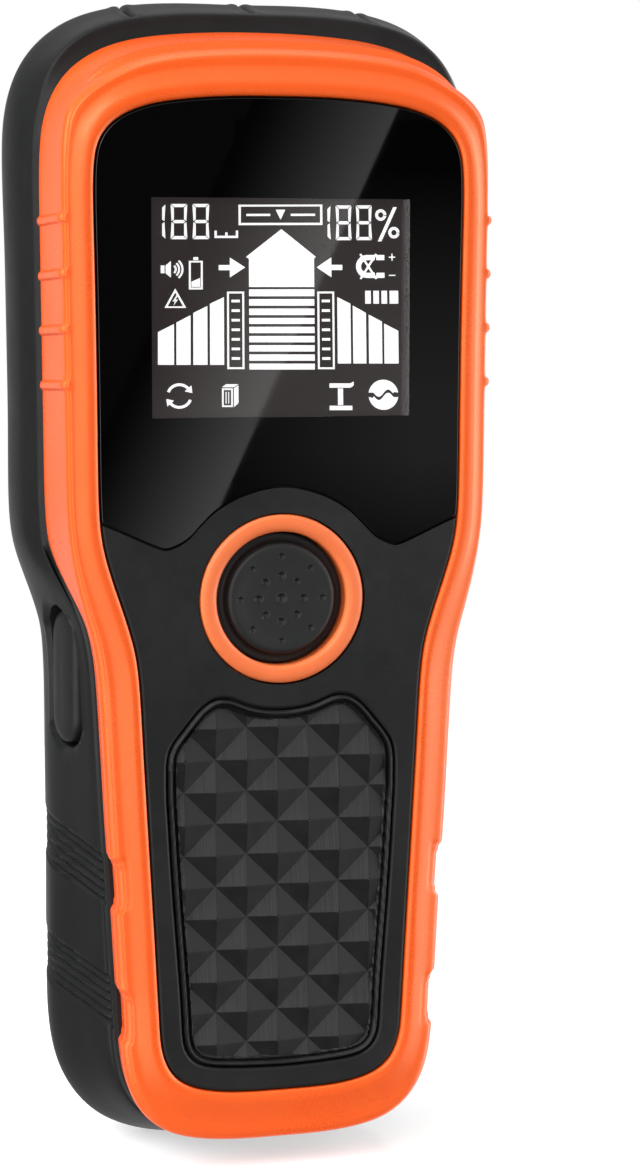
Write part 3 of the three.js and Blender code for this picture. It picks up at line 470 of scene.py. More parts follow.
def bumper_piece():
    def step(x, z):
        s = np.full_like(x, 0.62)
        side = np.abs(x) > 18
        s[side & near(z, RIBS, 1.9)] = 0.16
        edges = [e for n in NOTCHES for e in n]
        s[side & near(z, edges, 1.6)] = 0.2
        s[(z > 60) | (z < -64)] = 0.5
        return s

    u = spread(BUMPER, step)
    I, O = INNER.xz(u), BUMPER.xz(u)
    nrm = BUMPER.normal(u)
    L = np.linalg.norm(O - I, axis=1)
    dirn = (O - I) / L[:, None]
    z = O[:, 1]
    h = headness(z)
    B = edge_depth(z)
    dr = lerp(-0.35, 0.6, h) + 2.4 * smooth(64, 74, z)   # the wall leans out to its back edge round the head, in round the grip
    dc = 0.62 + 0.1 * (L - 5)                  # crease depth, deeper where the frame is wide
    W = L - dr                                 # where the front face turns into the side wall
    v = lerp(1.95, W, 0.5)                     # crease
    k = np.clip((W - v) / 1.5, 0.55, 1.0)
    ones = np.ones_like(L)
    rows = [  # (distance out from the inner edge, depth), smooth run from the inner wall to the back edge
        (0 * L, 1.95 * ones), (0 * L, 0.55 * ones), (0.12 * ones, 0.2 * ones), (0.5 * ones, 0.02 * ones), (1.25 * ones, 0.0 * ones),
        (1.95 * ones, 0.16 * ones), (lerp(1.95, v, 0.4), lerp(0.16, dc, 0.46)), (lerp(1.95, v, 0.8), lerp(0.16, dc, 0.86)), (v, dc),
        (lerp(v, W, 0.14), dc + 0.03), (lerp(v, W, 0.5), dc + 0.16 * k), (W - 0.72 * k, dc + 0.42), (W - 0.2 * k, dc + 0.98), (W, dc + 1.9),
        (L - dr * 0.5, lerp(dc + 1.9, B, 0.5)), (L + 0.03, B - 0.45), (L - 0.06, B - 0.08), (L - 0.3, B),
    ]
    counts = [3, 3, 4, 5, 5, 4, 4, 3, 3, 5, 6, 5, 5, 6, 6, 3, 2]
    ctrl = np.array([np.stack([a, b], -1) for a, b in rows])
    sec = sweep(ctrl, counts)
    n_vis = len(sec)
    under = [(L - 1.8, B), (L - 1.8, 4.4 * ones), (0.0 * L, 2.0 * ones + 0.02)]
    allrows = np.concatenate([sec, np.array([np.stack([a, b], -1) for a, b in under])])
    rings = []
    for k, row in enumerate(allrows):
        n, d = row[:, 0], row[:, 1]
        xz = I + dirn * n[:, None]
        if k >= n_vis and k < n_vis + 2:
            xz = BUMPER.xz(u, -1.8)
        if k < n_vis:
            frac = n / L
            out = np.zeros_like(n)
            # finger ribs: small half-rounds across the side wall with a fillet at their feet
            w = smooth(0.6, 0.84, frac) * (1 - smooth(B - 1.2, B - 0.3, d)) * (np.abs(nrm[:, 0]) > 0.9)
            for c in RIBS:
                t = (z - c + 0.03 * (d - 8)) / 0.66
                out += w * (0.46 * np.sqrt(np.clip(1 - t * t, 0, 1)) + 0.14 * np.exp(-(t * 0.62) ** 2))
            # finger notches: two-step pockets in the grip's side wall
            for lo, hi in NOTCHES:
                band = smooth(lo - 0.5, lo + 0.5, z) * (1 - smooth(hi - 0.5, hi + 0.5, z))
                band2 = smooth(lo + 0.7, lo + 1.5, z) * (1 - smooth(hi - 1.5, hi - 0.7, z))
                out -= smooth(0.5, 0.86, frac) * (0.52 * band + 0.2 * band2) * (np.abs(x_of(xz)) > 5)
            xz = xz + nrm * out[:, None]
        rings.append(ring_at(xz, d))
    ob = loft("bumper", rings, closed=True, slot="bumper_rubber", smooth_angle=40, replaces=("bumper_frame",))
    paint(ob, M["bumper"])
    return ob


def x_of(xz):
    return xz[:, 0]


# ------------------------------------------------------------------ rear shell
GROOVES = ((-33.8, -40.8), (-51.2, -58.5))     # row z of each grooved band at depth 22
MARKS = (-17.3, 0.0, 17.3)


def side_obround(grow, seg=10):
    a, b = 3.8 + grow, 9.4 + grow
    pts = []
    for i in range(seg + 1):
        t = math.pi * i / seg
        pts.append((a * math.cos(t), b - a + a * math.sin(t)))
    for i in range(seg + 1):
        t = math.pi + math.pi * i / seg
        pts.append((a * math.cos(t), -(b - a) + a * math.sin(t)))
    return np.array(pts)


def wall_x(d):
    return -(25.2 + 3.35 * (d - 6.3) / 16.2)


def side_ring(offset, grow, seg=10):
    p = side_obround(grow, seg)
    x = wall_x(SIDE_D) - SIDE_TAN * p[:, 0] - offset
    return np.stack([x, SIDE_D + p[:, 0] - THICK, SIDE_Z + p[:, 1] + ZS], 1)


def rear_piece():
    def step(x, z):
        s = np.full_like(x, 0.75)
        side = np.abs(x) > 20
        s[side & (z < -31) & (z > -45)] = 0.2
        s[side & (z < -48.5) & (z > -63)] = 0.2
        s[(z > 60) | (z < -62)] = 0.5
        top = (z > 60) & (np.min([np.abs(x - c) for c in MARKS], 0) < 2.6)
        s[top] = 0.16
        return s

    u = spread(BUMPER, step)
    O, R = BUMPER.xz(u), SHELL.xz(u)
    nO, nR = BUMPER.normal(u), SHELL.normal(u)
    z = O[:, 1]
    h = headness(z)
    B = edge_depth(z)
    one = np.ones_like(z)

    def mixed(f, off=0.0):
        f = np.asarray(f)[:, None] if np.ndim(f) else f
        n = nO * (1 - f) + nR * f
        n /= np.linalg.norm(n, axis=1)[:, None]
        return O * (1 - f) + R * f + n * off

    top = smooth(64, 74, z)
    c1f, c1d = lerp(0.1, 0.3, h) + 0.26 * top, lerp(8.5, 15.0, h) - 0.45 * top
    stations = [
        (mixed(0.0, -0.35), B + 0.14), (mixed(0.0, -0.02), B + 0.2), (mixed(lerp(0.05, 0.15, h) + 0.14 * top), lerp(B + 1.1, 14.5, h) - 0.1 * top), (mixed(c1f - 0.03), c1d - 0.12),
        (mixed(c1f + 0.03), c1d + 0.3), (mixed(lerp(0.5, 0.78, h)), lerp(14.2, 18.6, h)), (mixed(one), 22.5 * one),
        (mixed(one, -0.12), 26.0 * one), (mixed(one, -0.95), 29.1 * one), (mixed(one, -2.5), 31.0 * one), (mixed(one, -4.2), 31.82 * one), (mixed(one, -5.6), 32.0 * one),
    ]
    ctrl = np.array([np.concatenate([a, np.broadcast_to(b, (len(z),))[:, None]], 1) for a, b in stations])
    sec = sweep(ctrl, [2, 4, 4, 3, 8, 9, 7, 7, 6, 4, 3])
    rings = []
    for k, row in enumerate(sec):
        xz, d = row[:, :2], row[:, 2]
        zz = xz[:, 1] + ZS
        out = np.zeros_like(d)
        # finger grooves: recessed band with four scallops, falling towards the front
        zeta = zz + 0.225 * (22 - d)
        wd = smooth(B + 0.8, B + 2.2, d) * (1 - smooth(28.9, 30.6, d)) * (np.abs(nR[:, 0]) > 0.8)
        for hi, lo in GROOVES:
            band = smooth(lo - 0.25, lo + 0.35, zeta) * (1 - smooth(hi - 0.35, hi + 0.25, zeta))
            ph = (zeta - (hi - 1.0)) / 1.31
            out -= wd * band * (0.14 + 0.62 * (0.5 - 0.5 * np.cos(2 * math.pi * ph)) ** 1.1)
        # centre and edge marks across the top wall: a fine V with a raised lip each side
        wt = smooth(c1d + 0.2, c1d + 1.2, d) * (1 - smooth(28.0, 30.2, d)) * (zz > 60)
        for c in MARKS:
            t = np.abs(xz[:, 0] - c)
            out += wt * (-0.85 * np.clip(1 - t / 0.6, 0, 1) + 0.14 * np.exp(-(((t - 1.05) / 0.5) ** 2)))
        # shallow dish round the side button
        out += np.where(xz[:, 0] < -15, wall_dish(d - SIDE_D, zz - (SIDE_Z + ZS)), 0.0)
        xz = xz + nR * out[:, None]
        rings.append(ring_at(xz, d))
    inner = [
        (mixed(0.0, -3.6), B + 0.14), (mixed(0.0, -3.6), np.maximum(B - 1.2, 5.5)), (mixed(0.0, -4.4), np.maximum(B - 1.2, 5.5)), (mixed(0.0, -4.4), B + 1.6),
        (mixed(lerp(0.5, 0.84, h), -2.2), lerp(14.7, 19.3, h)), (mixed(one, -2.2), 22.5 * one), (mixed(one, -2.6), 26.0 * one), (mixed(one, -3.8), 28.6 * one), (mixed(one, -6.6), 30.0 * one),
    ]
    rings = rings[::-1] + [ring_at(a, b) for a, b in inner]
    ob = loft("rear_shell_skin", rings, body=None, smooth_angle=None)
    # bosses, bay walls and posts inside
    add = [prism(circle(x, zz, 3.2, 40), 13.3, 30.4) for x, zz in HOUSING_SCREWS]
    add += [prism(rect(a, b, -73.6, -24), 13.5, 30.4) for a, b in ((14.4, 15.6), (-15.6, -14.4))]
    add += [prism(rect(-15.61, 15.61, -75.8, -74.4), 13.51, 30.41)]
    add += [prism(circle(x, zz, 2.2, 24), 28.2, 30.4) for x, zz in ((-18, 54), (18, 54), (-18, 16), (18, 16))]
    boolean(ob, "UNION", add)
    g = 0.3
    cut = [prism(rounded(-DOOR["x"] - g, DOOR["x"] + g, DOOR["z0"] - g, DOOR["z1"] + g, 1.6, 8), 28, 33)]
    cut += [prism(circle(x, zz, 1.25, 24), 12, 33) for x, zz in HOUSING_SCREWS]
    cut += [prism(circle(x, zz, 1.02, 24), 27, 29.8) for x, zz in ((-18, 54), (18, 16))]
    cut += [prism(circle(x, zz, 2.9 if zz > 0 else 2.5, 32), 3, 13.2) for x, zz in HOUSING_SCREWS]
    cut.append(loft("c", np.array([side_ring(-2.2, 1.9), side_ring(-9, 1.9)]), body=None, smooth_angle=None))
    cut += [prism(circle(x, zz, 2.4, 40), 27.0, 33.01) for x, zz in HOUSING_SCREWS]
    cut += [prism(rect(-5.3, 5.3, DOOR["z0"] - 2.6, DOOR["z0"] + 0.1), 29.0, 33.02)]
    cut += [prism(rounded(-15.3, 15.3, 24.7, 45.3, 1.5, 8), 31.55, 33)]
    cut.append(loft("c", np.array([side_ring(4, 0.72, 24), side_ring(-4, 0.72, 24)]), body=None, smooth_angle=None))
    boolean(ob, "DIFFERENCE", cut)
    outward(ob)
    shade(ob, 32)
    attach(ob, "housing")
    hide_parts("rear_shell")
    paint(ob, M["shell"])
    return ob


def wall_dish(y, z):
    """Depth of the shallow oval dish round the side button, 0 away from it."""
    a, b = 5.0, 10.55
    zz = np.clip(np.abs(z) - (b - a), 0, None)
    r = np.hypot(y, zz)
    return -0.55 * (1 - smooth(a - 0.3, a + 0.15, r)) + 0.12 * np.exp(-(((r - a - 0.45) / 0.3) ** 2))


# ------------------------------------------------------------------ front shell
def seam_line(shift=0.0):
    """Lower edge of the window, from right to left, as fine points."""
    half = np.array(WINDOW_SEAM + [(-x, z) for x, z in WINDOW_SEAM[-2::-1]], float)
    u = np.linspace(0, len(half) - 1, 241)
    p = catmull(half, np.clip(u, 0, len(half) - 1.000001), closed=False)
    p[:, 1] += shift
    return p


def front_piece():
    u = spread(INNER, lambda x, z: np.full_like(x, 0.5))
    z = BUMPER.xz(u)[:, 1]
    B = edge_depth(z)
    rows = [(INNER.xz(u, -0.55), 0.35), (INNER.xz(u, -0.3), 0.42), (INNER.xz(u, -0.18), 0.62), (INNER.xz(u, -0.18), 2.25), (BUMPER.xz(u, -2.02), 4.65),
            (BUMPER.xz(u, -2.02), B), (BUMPER.xz(u, -3.45), B), (BUMPER.xz(u, -3.45), 5.3), (INNER.xz(u, -1.2), 3.2)]
    ob = loft("front_shell_skin", [ring_at(a, b) for a, b in rows], body=None, smooth_angle=None)
    add = [prism(circle(x, zz, 2.6 if zz > 0 else 2.2, 36), 3.05 if zz > 0 else 4.7, 13.0) for x, zz in HOUSING_SCREWS]
    add += [prism(circle(x, zz, 2.2, 32), 3.0, 10.2) for x, zz in PCB_SCREWS]
    add += [prism(rect(-12.5, 12.5, zz - 0.6, zz + 0.6), 3.0, 10.1) for zz in (-30, -45, -60)]
    up = spread(PAD, lambda x, z: np.full_like(x, 0.35))
    boolean(ob, "UNION", add)
    seam = seam_line()
    out = [(40, seam[0][1] + 1)] + [tuple(p) for p in seam] + [(-40, seam[-1][1] + 1), (-40, 90), (40, 90)]
    cut = [prism(out, -1, 1.75)]
    cut.append(prism(rounded(-20.5, 20.5, 19.7, 55.9, 0.6, 4), 1, 4))
    cut.append(prism(circle(0, BUTTON_Z, 11.95, 160), -1.01, 4.01))
    # pocket of the grip pad, its rim rounded over
    pk = [(PAD.xz(up, 0.62), -1.02), (PAD.xz(up, 0.62), 0.34), (PAD.xz(up, 0.42), 0.37), (PAD.xz(up, 0.26), 0.45), (PAD.xz(up, 0.16), 0.58), (PAD.xz(up, 0.12), 0.76), (PAD.xz(up, 0.12), 1.0), (PAD.xz(up, 0.12), 1.9)]
    cut.append(loft("pk", [ring_at(a, b) for a, b in pk], body=None, smooth_angle=None))
    cut += [prism(circle(x, zz, 1.12, 20), 4.9, 14) for x, zz in HOUSING_SCREWS]
    cut += [prism(circle(x, zz, 1.02, 20), 5.2, 11) for x, zz in PCB_SCREWS]
    boolean(ob, "DIFFERENCE", cut)
    outward(ob)
    shade(ob, 30)
    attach(ob, "housing")
    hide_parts("front_shell")
    paint(ob, M["panel"])
    return ob


# ------------------------------------------------------------------ display window
def closed_inset(loop, amount):
    """Moves a counter-clockwise or clockwise loop inwards by amount along mitred normals."""
    p = np.asarray(loop, float)
    area = 0.5 * np.sum(p[:, 0] * np.roll(p[:, 1], -1) - np.roll(p[:, 0], -1) * p[:, 1])
    s = 1.0 if area > 0 else -1.0
    e0 = p - np.roll(p, 1, 0)
    e1 = np.roll(p, -1, 0) - p
    n0 = np.stack([-e0[:, 1], e0[:, 0]], 1) / np.linalg.norm(e0, axis=1)[:, None] * s
    n1 = np.stack([-e1[:, 1], e1[:, 0]], 1) / np.linalg.norm(e1, axis=1)[:, None] * s
    m = n0 + n1
    m /= np.maximum(np.sum(m * n0, 1), 0.35)[:, None]
    return p + m * amount


def window_loop():
    u = spread(INNER, lambda x, z: np.full_like(x, 0.4))
    rim = INNER.xz(u, -0.3)
    seam = seam_line(0.3)
    keep = rim[rim[:, 1] > 8.95 + 0.45]
    ang = np.arctan2(keep[:, 0], keep[:, 1] - 30)
    keep = keep[np.argsort(ang)]                 # left low, over the top, to right low
    s = seam[(np.abs(seam[:, 0]) < np.interp(seam[:, 1], [0, 30], [25.08, 25.08]))]
    return np.vstack([keep, s])                  # seam runs right to left


def window_piece():
    loop = window_loop()
    rows = [(0.0, 1.55), (0.0, 0.43), (0.02, 0.385), (0.05, 0.36), (0.1, 0.35)]
    ob = loft("window_mask", [ring_at(closed_inset(loop, a), d) for a, d in rows], body=None, smooth_angle=None)
    boolean(ob, "DIFFERENCE", [prism(rect(-LCD_X, LCD_X, LCD_Z0, LCD_Z1), -1, 3)])
    shade(ob, 30)
    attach(ob, "housing")
    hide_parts("display_window")
    m, nt, out = tree("window_black")
    p = node(nt, "ShaderNodeBsdfPrincipled")
    nt.links.new(p.outputs[0], out.inputs[0])
    p.inputs["Base Color"].default_value = (0.0012, 0.0012, 0.0013, 1)
    co = node(nt, "ShaderNodeTexCoord").outputs["Object"]
    nt.links.new(maprange(nt, noise(nt, co, 60, 4, 0.6), 0.3, 0.75, 0.012, 0.035), p.inputs["Roughness"])
    p.inputs["Specular IOR Level"].default_value = 0.5
    paint(ob, m)
    # clear pane over the lit area
    pane = make("window_clear", np.vstack([ring_at(rect(-LCD_X + 0.005, LCD_X - 0.005, LCD_Z0 + 0.005, LCD_Z1 - 0.005), d) for d in (0.35, 1.5)]),
                [(0, 1, 2, 3), (4, 5, 6, 7), (0, 1, 5, 4), (1, 2, 6, 5), (2, 3, 7, 6), (3, 0, 4, 7)], slot="window_acrylic", smooth_angle=20)
    m, nt, out = tree("window_pane")
    tr = node(nt, "ShaderNodeBsdfTransparent")
    tr.inputs["Color"].default_value = (0.96, 0.96, 0.96, 1)
    gl = node(nt, "ShaderNodeBsdfGlossy")
    co = node(nt, "ShaderNodeTexCoord").outputs["Object"]
    nt.links.new(maprange(nt, noise(nt, co, 60, 4, 0.6), 0.3, 0.75, 0.012, 0.035), gl.inputs["Roughness"])
    fr = node(nt, "ShaderNodeFresnel", IOR=1.49)
    mx = node(nt, "ShaderNodeMixShader")
    nt.links.new(fr.outputs[0], mx.inputs[0])
    nt.links.new(tr.outputs[0], mx.inputs[1])
    nt.links.new(gl.outputs[0], mx.inputs[2])
    nt.links.new(mx.outputs[0], out.inputs[0])
    paint(pane, m)
    return ob


# ------------------------------------------------------------------ LCD picture: numbers, bars and icons, no words
def lcd_xy(px, py):
    """Sheet coordinates of the display artwork to (x, z)."""
    tl, tr, br, bl = (65, 92), (1472, 108), (1452, 1272), (70, 1292)
    s, t = (px - 65) / 1400.0, (py - 95) / 1190.0
    for _ in range(8):                            # inverse of the corner blend
        fx = (1 - t) * ((1 - s) * tl[0] + s * tr[0]) + t * ((1 - s) * bl[0] + s * br[0]) - px
        fy = (1 - t) * ((1 - s) * tl[1] + s * tr[1]) + t * ((1 - s) * bl[1] + s * br[1]) - py
        s -= fx / 1394.0
        t -= fy / 1182.0
    return -LCD_X + 2 * LCD_X * s, LCD_Z1 - (LCD_Z1 - LCD_Z0) * t


def arc(cx, cy, r, a0, a1, n=14):
    return [(cx + r * math.cos(math.radians(a0 + (a1 - a0) * i / n)), cy - r * math.sin(math.radians(a0 + (a1 - a0) * i / n))) for i in range(n + 1)]


def band(points, w):
    """Polygon of width w along an open line."""
    p = np.array(points, float)
    t = np.gradient(p, axis=0)
    t /= np.linalg.norm(t, axis=1)[:, None]
    n = np.stack([-t[:, 1], t[:, 0]], 1) * w / 2
    return [tuple(q) for q in np.vstack([p + n, (p - n)[::-1]])]


def digit(x0, x1, y0, y1, segs, t=15, g=3, lean=0.0):
    ym = (y0 + y1) / 2
    q = t * 0.5
    shapes = {
        "a": [(x0 + g, y0), (x1 - g, y0), (x1 - g - t, y0 + t), (x0 + g + t, y0 + t)],
        "d": [(x0 + g, y1), (x0 + g + t, y1 - t), (x1 - g - t, y1 - t), (x1 - g, y1)],
        "g": [(x0 + g + q, ym), (x0 + g + t, ym - q), (x1 - g - t, ym - q), (x1 - g - q, ym), (x1 - g - t, ym + q), (x0 + g + t, ym + q)],
        "f": [(x0, y0 + g), (x0 + t, y0 + g + t), (x0 + t, ym - q - g), (x0 + q * 0.6, ym - g)],
        "e": [(x0, y1 - g), (x0 + q * 0.6, ym + g), (x0 + t, ym + q + g), (x0 + t, y1 - g - t)],
        "b": [(x1, y0 + g), (x1 - q * 0.6, ym - g), (x1 - t, ym - q - g), (x1 - t, y0 + g + t)],
        "c": [(x1, y1 - g), (x1 - t, y1 - g - t), (x1 - t, ym + q + g), (x1 - q * 0.6, ym + g)],
    }
    return [[(x + lean * (ym - y), y) for x, y in shapes[s]] for s in segs]


def lcd_shapes():
    S = []
    box = lambda x0, y0, x1, y1: [(x0, y0), (x1, y0), (x1, y1), (x0, y1)]
    S += digit(122, 155, 128, 318, "bc", 17)
    S += digit(183, 272, 128, 318, "abcdefg", 17) + digit(300, 390, 128, 318, "abcdefg", 17)
    S += digit(1018, 1050, 138, 325, "bc", 17)
    S += digit(1078, 1165, 138, 325, "abcdefg", 17) + digit(1190, 1278, 138, 325, "abcdefg", 17)
    # per cent sign
    for cx, cy in ((1328, 190), (1400, 285)):
        S.append(arc(cx, cy, 31, 0, 350, 24) + arc(cx, cy, 15, 350, 0, 24))
    S.append([(1398, 148), (1418, 148), (1330, 332), (1310, 332)])
    # small scale mark in place of the unit, and plain centre frame in place of the label
    S += [box(418, 300, 545, 312), box(418, 272, 430, 300), box(476, 282, 488, 300), box(533, 272, 545, 300)]
    S += [box(548, 133, 1005, 143), box(548, 231, 1005, 243), box(548, 143, 560, 231), box(993, 143, 1005, 231)]
    S += [[(776 - 26, 160), (776 + 26, 160), (776, 214)], box(590, 182, 720, 194), box(832, 182, 965, 194)]
    # loudspeaker
    S += [box(130, 460, 150, 502), [(156, 460), (184, 436), (184, 526), (156, 502)]]
    for r in (26, 44, 62):
        S.append(band(arc(184, 481, r, -48, 48, 12), 10))
    # battery
    S += [box(304, 415, 330, 431), box(280, 435, 290, 590), box(344, 435, 354, 590), box(290, 435, 344, 444), box(290, 580, 344, 590), [(294, 548), (340, 528), (340, 576), (294, 576)]]
    # side arrows
    S += [[(440, 458), (500, 458), (500, 418), (582, 471), (500, 525), (500, 486), (440, 486)],
          [(1112, 458), (1052, 458), (1052, 418), (972, 471), (1052, 525), (1052, 486), (1112, 486)]]
    # magnet with a stroke through it
    S.append(arc(1250, 467, 62, 90, 270, 20) + [(1290, 529), (1290, 501)] + arc(1250, 467, 34, 270, 90, 20) + [(1290, 433), (1290, 405)])
    S += [box(1300, 405, 1345, 433), box(1300, 501, 1345, 529), band([(1212, 400), (1300, 534)], 11), band([(1300, 400), (1212, 534)], 11)]
    S += [box(1385, 398, 1391, 436), box(1370, 414, 1406, 420), box(1370, 512, 1406, 518)]
    # live wire triangle
    tri = [(207, 585), (265, 690), (150, 690)]
    tin = [(207, 606), (249, 682), (166, 682)]
    S += [[tri[0], tri[1], tin[1], tin[0]], [tri[1], tri[2], tin[2], tin[1]], [tri[2], tri[0], tin[0], tin[2]]]
    S += [[(214, 622), (193, 655), (205, 655), (198, 677), (222, 645), (209, 645), (220, 622)]]
    # calibration tag: plain rounded bar with three cut slots
    S += [box(1237, 598, 1268, 668), box(1282, 598, 1313, 668), box(1327, 598, 1358, 668), box(1372, 598, 1420, 668)]
    # big centre arrow and its ladder
    S.append([(780, 265), (967, 415), (957, 424), (957, 577), (603, 577), (603, 424), (587, 415)])
    ys = [582, 635, 686, 737, 785, 835, 885, 935, 985, 1025]
    for a, b in zip(ys[:-1], ys[1:]):
        S.append(box(603, a + 8, 957, b - 8 if b < 1020 else b))
    # edge columns: frames with tick marks
    for x0, x1 in ((484, 576), (974, 1066)):
        S += [box(x0, 602, x1, 612), box(x0, 1013, x1, 1023), box(x0, 612, x0 + 10, 1013), box(x1 - 10, 612, x1, 1013)]
        for k in range(7):
            y = 646 + k * 52
            S.append(box(x0 + 24, y, x1 - 24, y + 14))
    # strength bars
    for x0, x1, a, b in ((115, 200, 822, 778), (213, 288, 770, 730), (303, 378, 718, 680), (392, 467, 668, 632)):
        S.append([(x0, a), (x1, b), (x1, 1000), (x0, 1000)])
    for x0, x1, a, b in ((1083, 1155, 632, 668), (1168, 1240, 678, 718), (1255, 1328, 727, 765), (1340, 1418, 775, 815)):
        S.append([(x0, a), (x1, b), (x1, 992), (x0, 992)])
    # two arrows in a circle
    for a0 in (160, 340):
        S.append(band(arc(228, 1170, 62, a0, a0 - 118, 16), 15))
        e = arc(228, 1170, 62, a0 - 118, a0 - 120, 1)[0]
        d = math.radians(a0 - 118 - 90)
        tx, ty = math.cos(d), -math.sin(d)
        nx, ny = -ty, tx
        S.append([(e[0] + tx * 34, e[1] + ty * 34), (e[0] + nx * 24, e[1] + ny * 24), (e[0] - nx * 24, e[1] - ny * 24)])
    # timber, beam and live wire signs
    S += [box(455, 1128, 464, 1230), box(504, 1128, 513, 1230), box(464, 1128, 504, 1137), box(464, 1221, 504, 1230), [(455, 1122), (478, 1105), (543, 1105), (519, 1122)],
          [(519, 1128), (543, 1111), (543, 1208), (519, 1230)], box(474, 1147, 479, 1211), box(488, 1147, 493, 1211)]
    S += [[(1036, 1100), (1150, 1100), (1168, 1090), (1168, 1112), (1150, 1124), (1036, 1124)], box(1036, 1222, 1160, 1246), [(1082, 1128), (1110, 1128), (1110, 1218), (1082, 1218)]]
    circ = arc(1332, 1162, 82, 0, 360, 48)[:-1]
    up = [p for p in arc(1332, 1162, 82, 8, 172, 26)]
    wave_l = [(1332 + t * 52, 1162 - 20 * math.sin(t * math.pi) - 9) for t in np.linspace(-1, 1, 17)]
    wave_u = [(1332 + t * 52, 1162 - 20 * math.sin(t * math.pi) + 9) for t in np.linspace(-1, 1, 17)]
    S.append(up + [(1332 - 60, 1150)] + wave_l + [(1332 + 60, 1146)])
    lo = [p for p in arc(1332, 1162, 82, 188, 352, 26)]
    S.append(lo + [(1332 + 60, 1176)] + wave_u[::-1] + [(1332 - 60, 1180)])
    return S


def lcd_piece():
    verts, faces = [], []
    for poly in lcd_shapes():
        pts = [lcd_xy(*p) for p in poly]
        a = sum(pts[i][0] * pts[(i + 1) % len(pts)][1] - pts[(i + 1) % len(pts)][0] * pts[i][1] for i in range(len(pts)))
        if abs(a) < 1e-6:
            continue
        n, b = len(pts), len(verts)
        verts += [tuple(r) for r in ring_at(pts, 1.93)] + [tuple(r) for r in ring_at(pts, 1.97)]
        faces += [list(range(b, b + n)), list(range(b + n, b + 2 * n))] + [[b + i, b + (i + 1) % n, b + n + (i + 1) % n, b + n + i] for i in range(n)]
    ob = make("lcd_segments", verts, faces, slot="lcd_glass", smooth_angle=None)
    m, nt, out = tree("lcd_white_painted_glow")
    p = node(nt, "ShaderNodeBsdfPrincipled")
    nt.links.new(p.outputs[0], out.inputs[0])
    co = node(nt, "ShaderNodeTexCoord").outputs["Object"]
    mix = node(nt, "ShaderNodeMix", data_type="RGBA")
    mix.inputs["A"].default_value = (0.9, 0.9, 0.9, 1)
    mix.inputs["B"].default_value = (1, 1, 1, 1)
    nt.links.new(noise(nt, co, 90, 2), mix.inputs["Factor"])
    nt.links.new(mix.outputs["Result"], p.inputs["Base Color"])
    # painted glow: the segments emit light of their own so they read bright white
    nt.links.new(mix.outputs["Result"], p.inputs["Emission Color"])
    p.inputs["Emission Strength"].default_value = 0.95
    p.inputs["Roughness"].default_value = 0.5
    paint(ob, m)
    m, nt, out = tree("lcd_glass")
    p = node(nt, "ShaderNodeBsdfPrincipled")
    nt.links.new(p.outputs[0], out.inputs[0])
    co = node(nt, "ShaderNodeTexCoord").outputs["Object"]
    mix = node(nt, "ShaderNodeMix", data_type="RGBA")
    mix.inputs["A"].default_value = (0.030, 0.024, 0.023, 1)
    mix.inputs["B"].default_value = (0.042, 0.034, 0.033, 1)
    nt.links.new(noise(nt, co, 40, 2), mix.inputs["Factor"])
    nt.links.new(mix.outputs["Result"], p.inputs["Base Color"])
    # painted glow: the dark panel emits faintly so it keeps its warm dark tone
    nt.links.new(mix.outputs["Result"], p.inputs["Emission Color"])
    p.inputs["Emission Strength"].default_value = 0.6
    p.inputs["Roughness"].default_value = 0.12
    p.inputs["Specular IOR Level"].default_value = 0.3
    paint(nodes["lcd_panel"], m)
    return ob


# ------------------------------------------------------------------ grip pad
def signed_inside(poly, x, z):
    """Distance inside a closed polygon, negative outside, for grids x, z."""
    P = np.asarray(poly, float)
    Q = np.roll(P, -1, 0)
    best = np.full(x.shape, 1e9)
    inside = np.zeros(x.shape, bool)
    for (ax, az), (bx, bz) in zip(P, Q):
        ex, ez = bx - ax, bz - az
        t = np.clip(((x - ax) * ex + (z - az) * ez) / max(ex * ex + ez * ez, 1e-12), 0, 1)
        best = np.minimum(best, (x - ax - t * ex) ** 2 + (z - az - t * ez) ** 2)
        if abs(ez) > 1e-12:
            hit = ((az > z) != (bz > z)) & (x < ex * (z - az) / ez + ax)
            inside ^= hit
    return np.where(inside, np.sqrt(best), -np.sqrt(best))


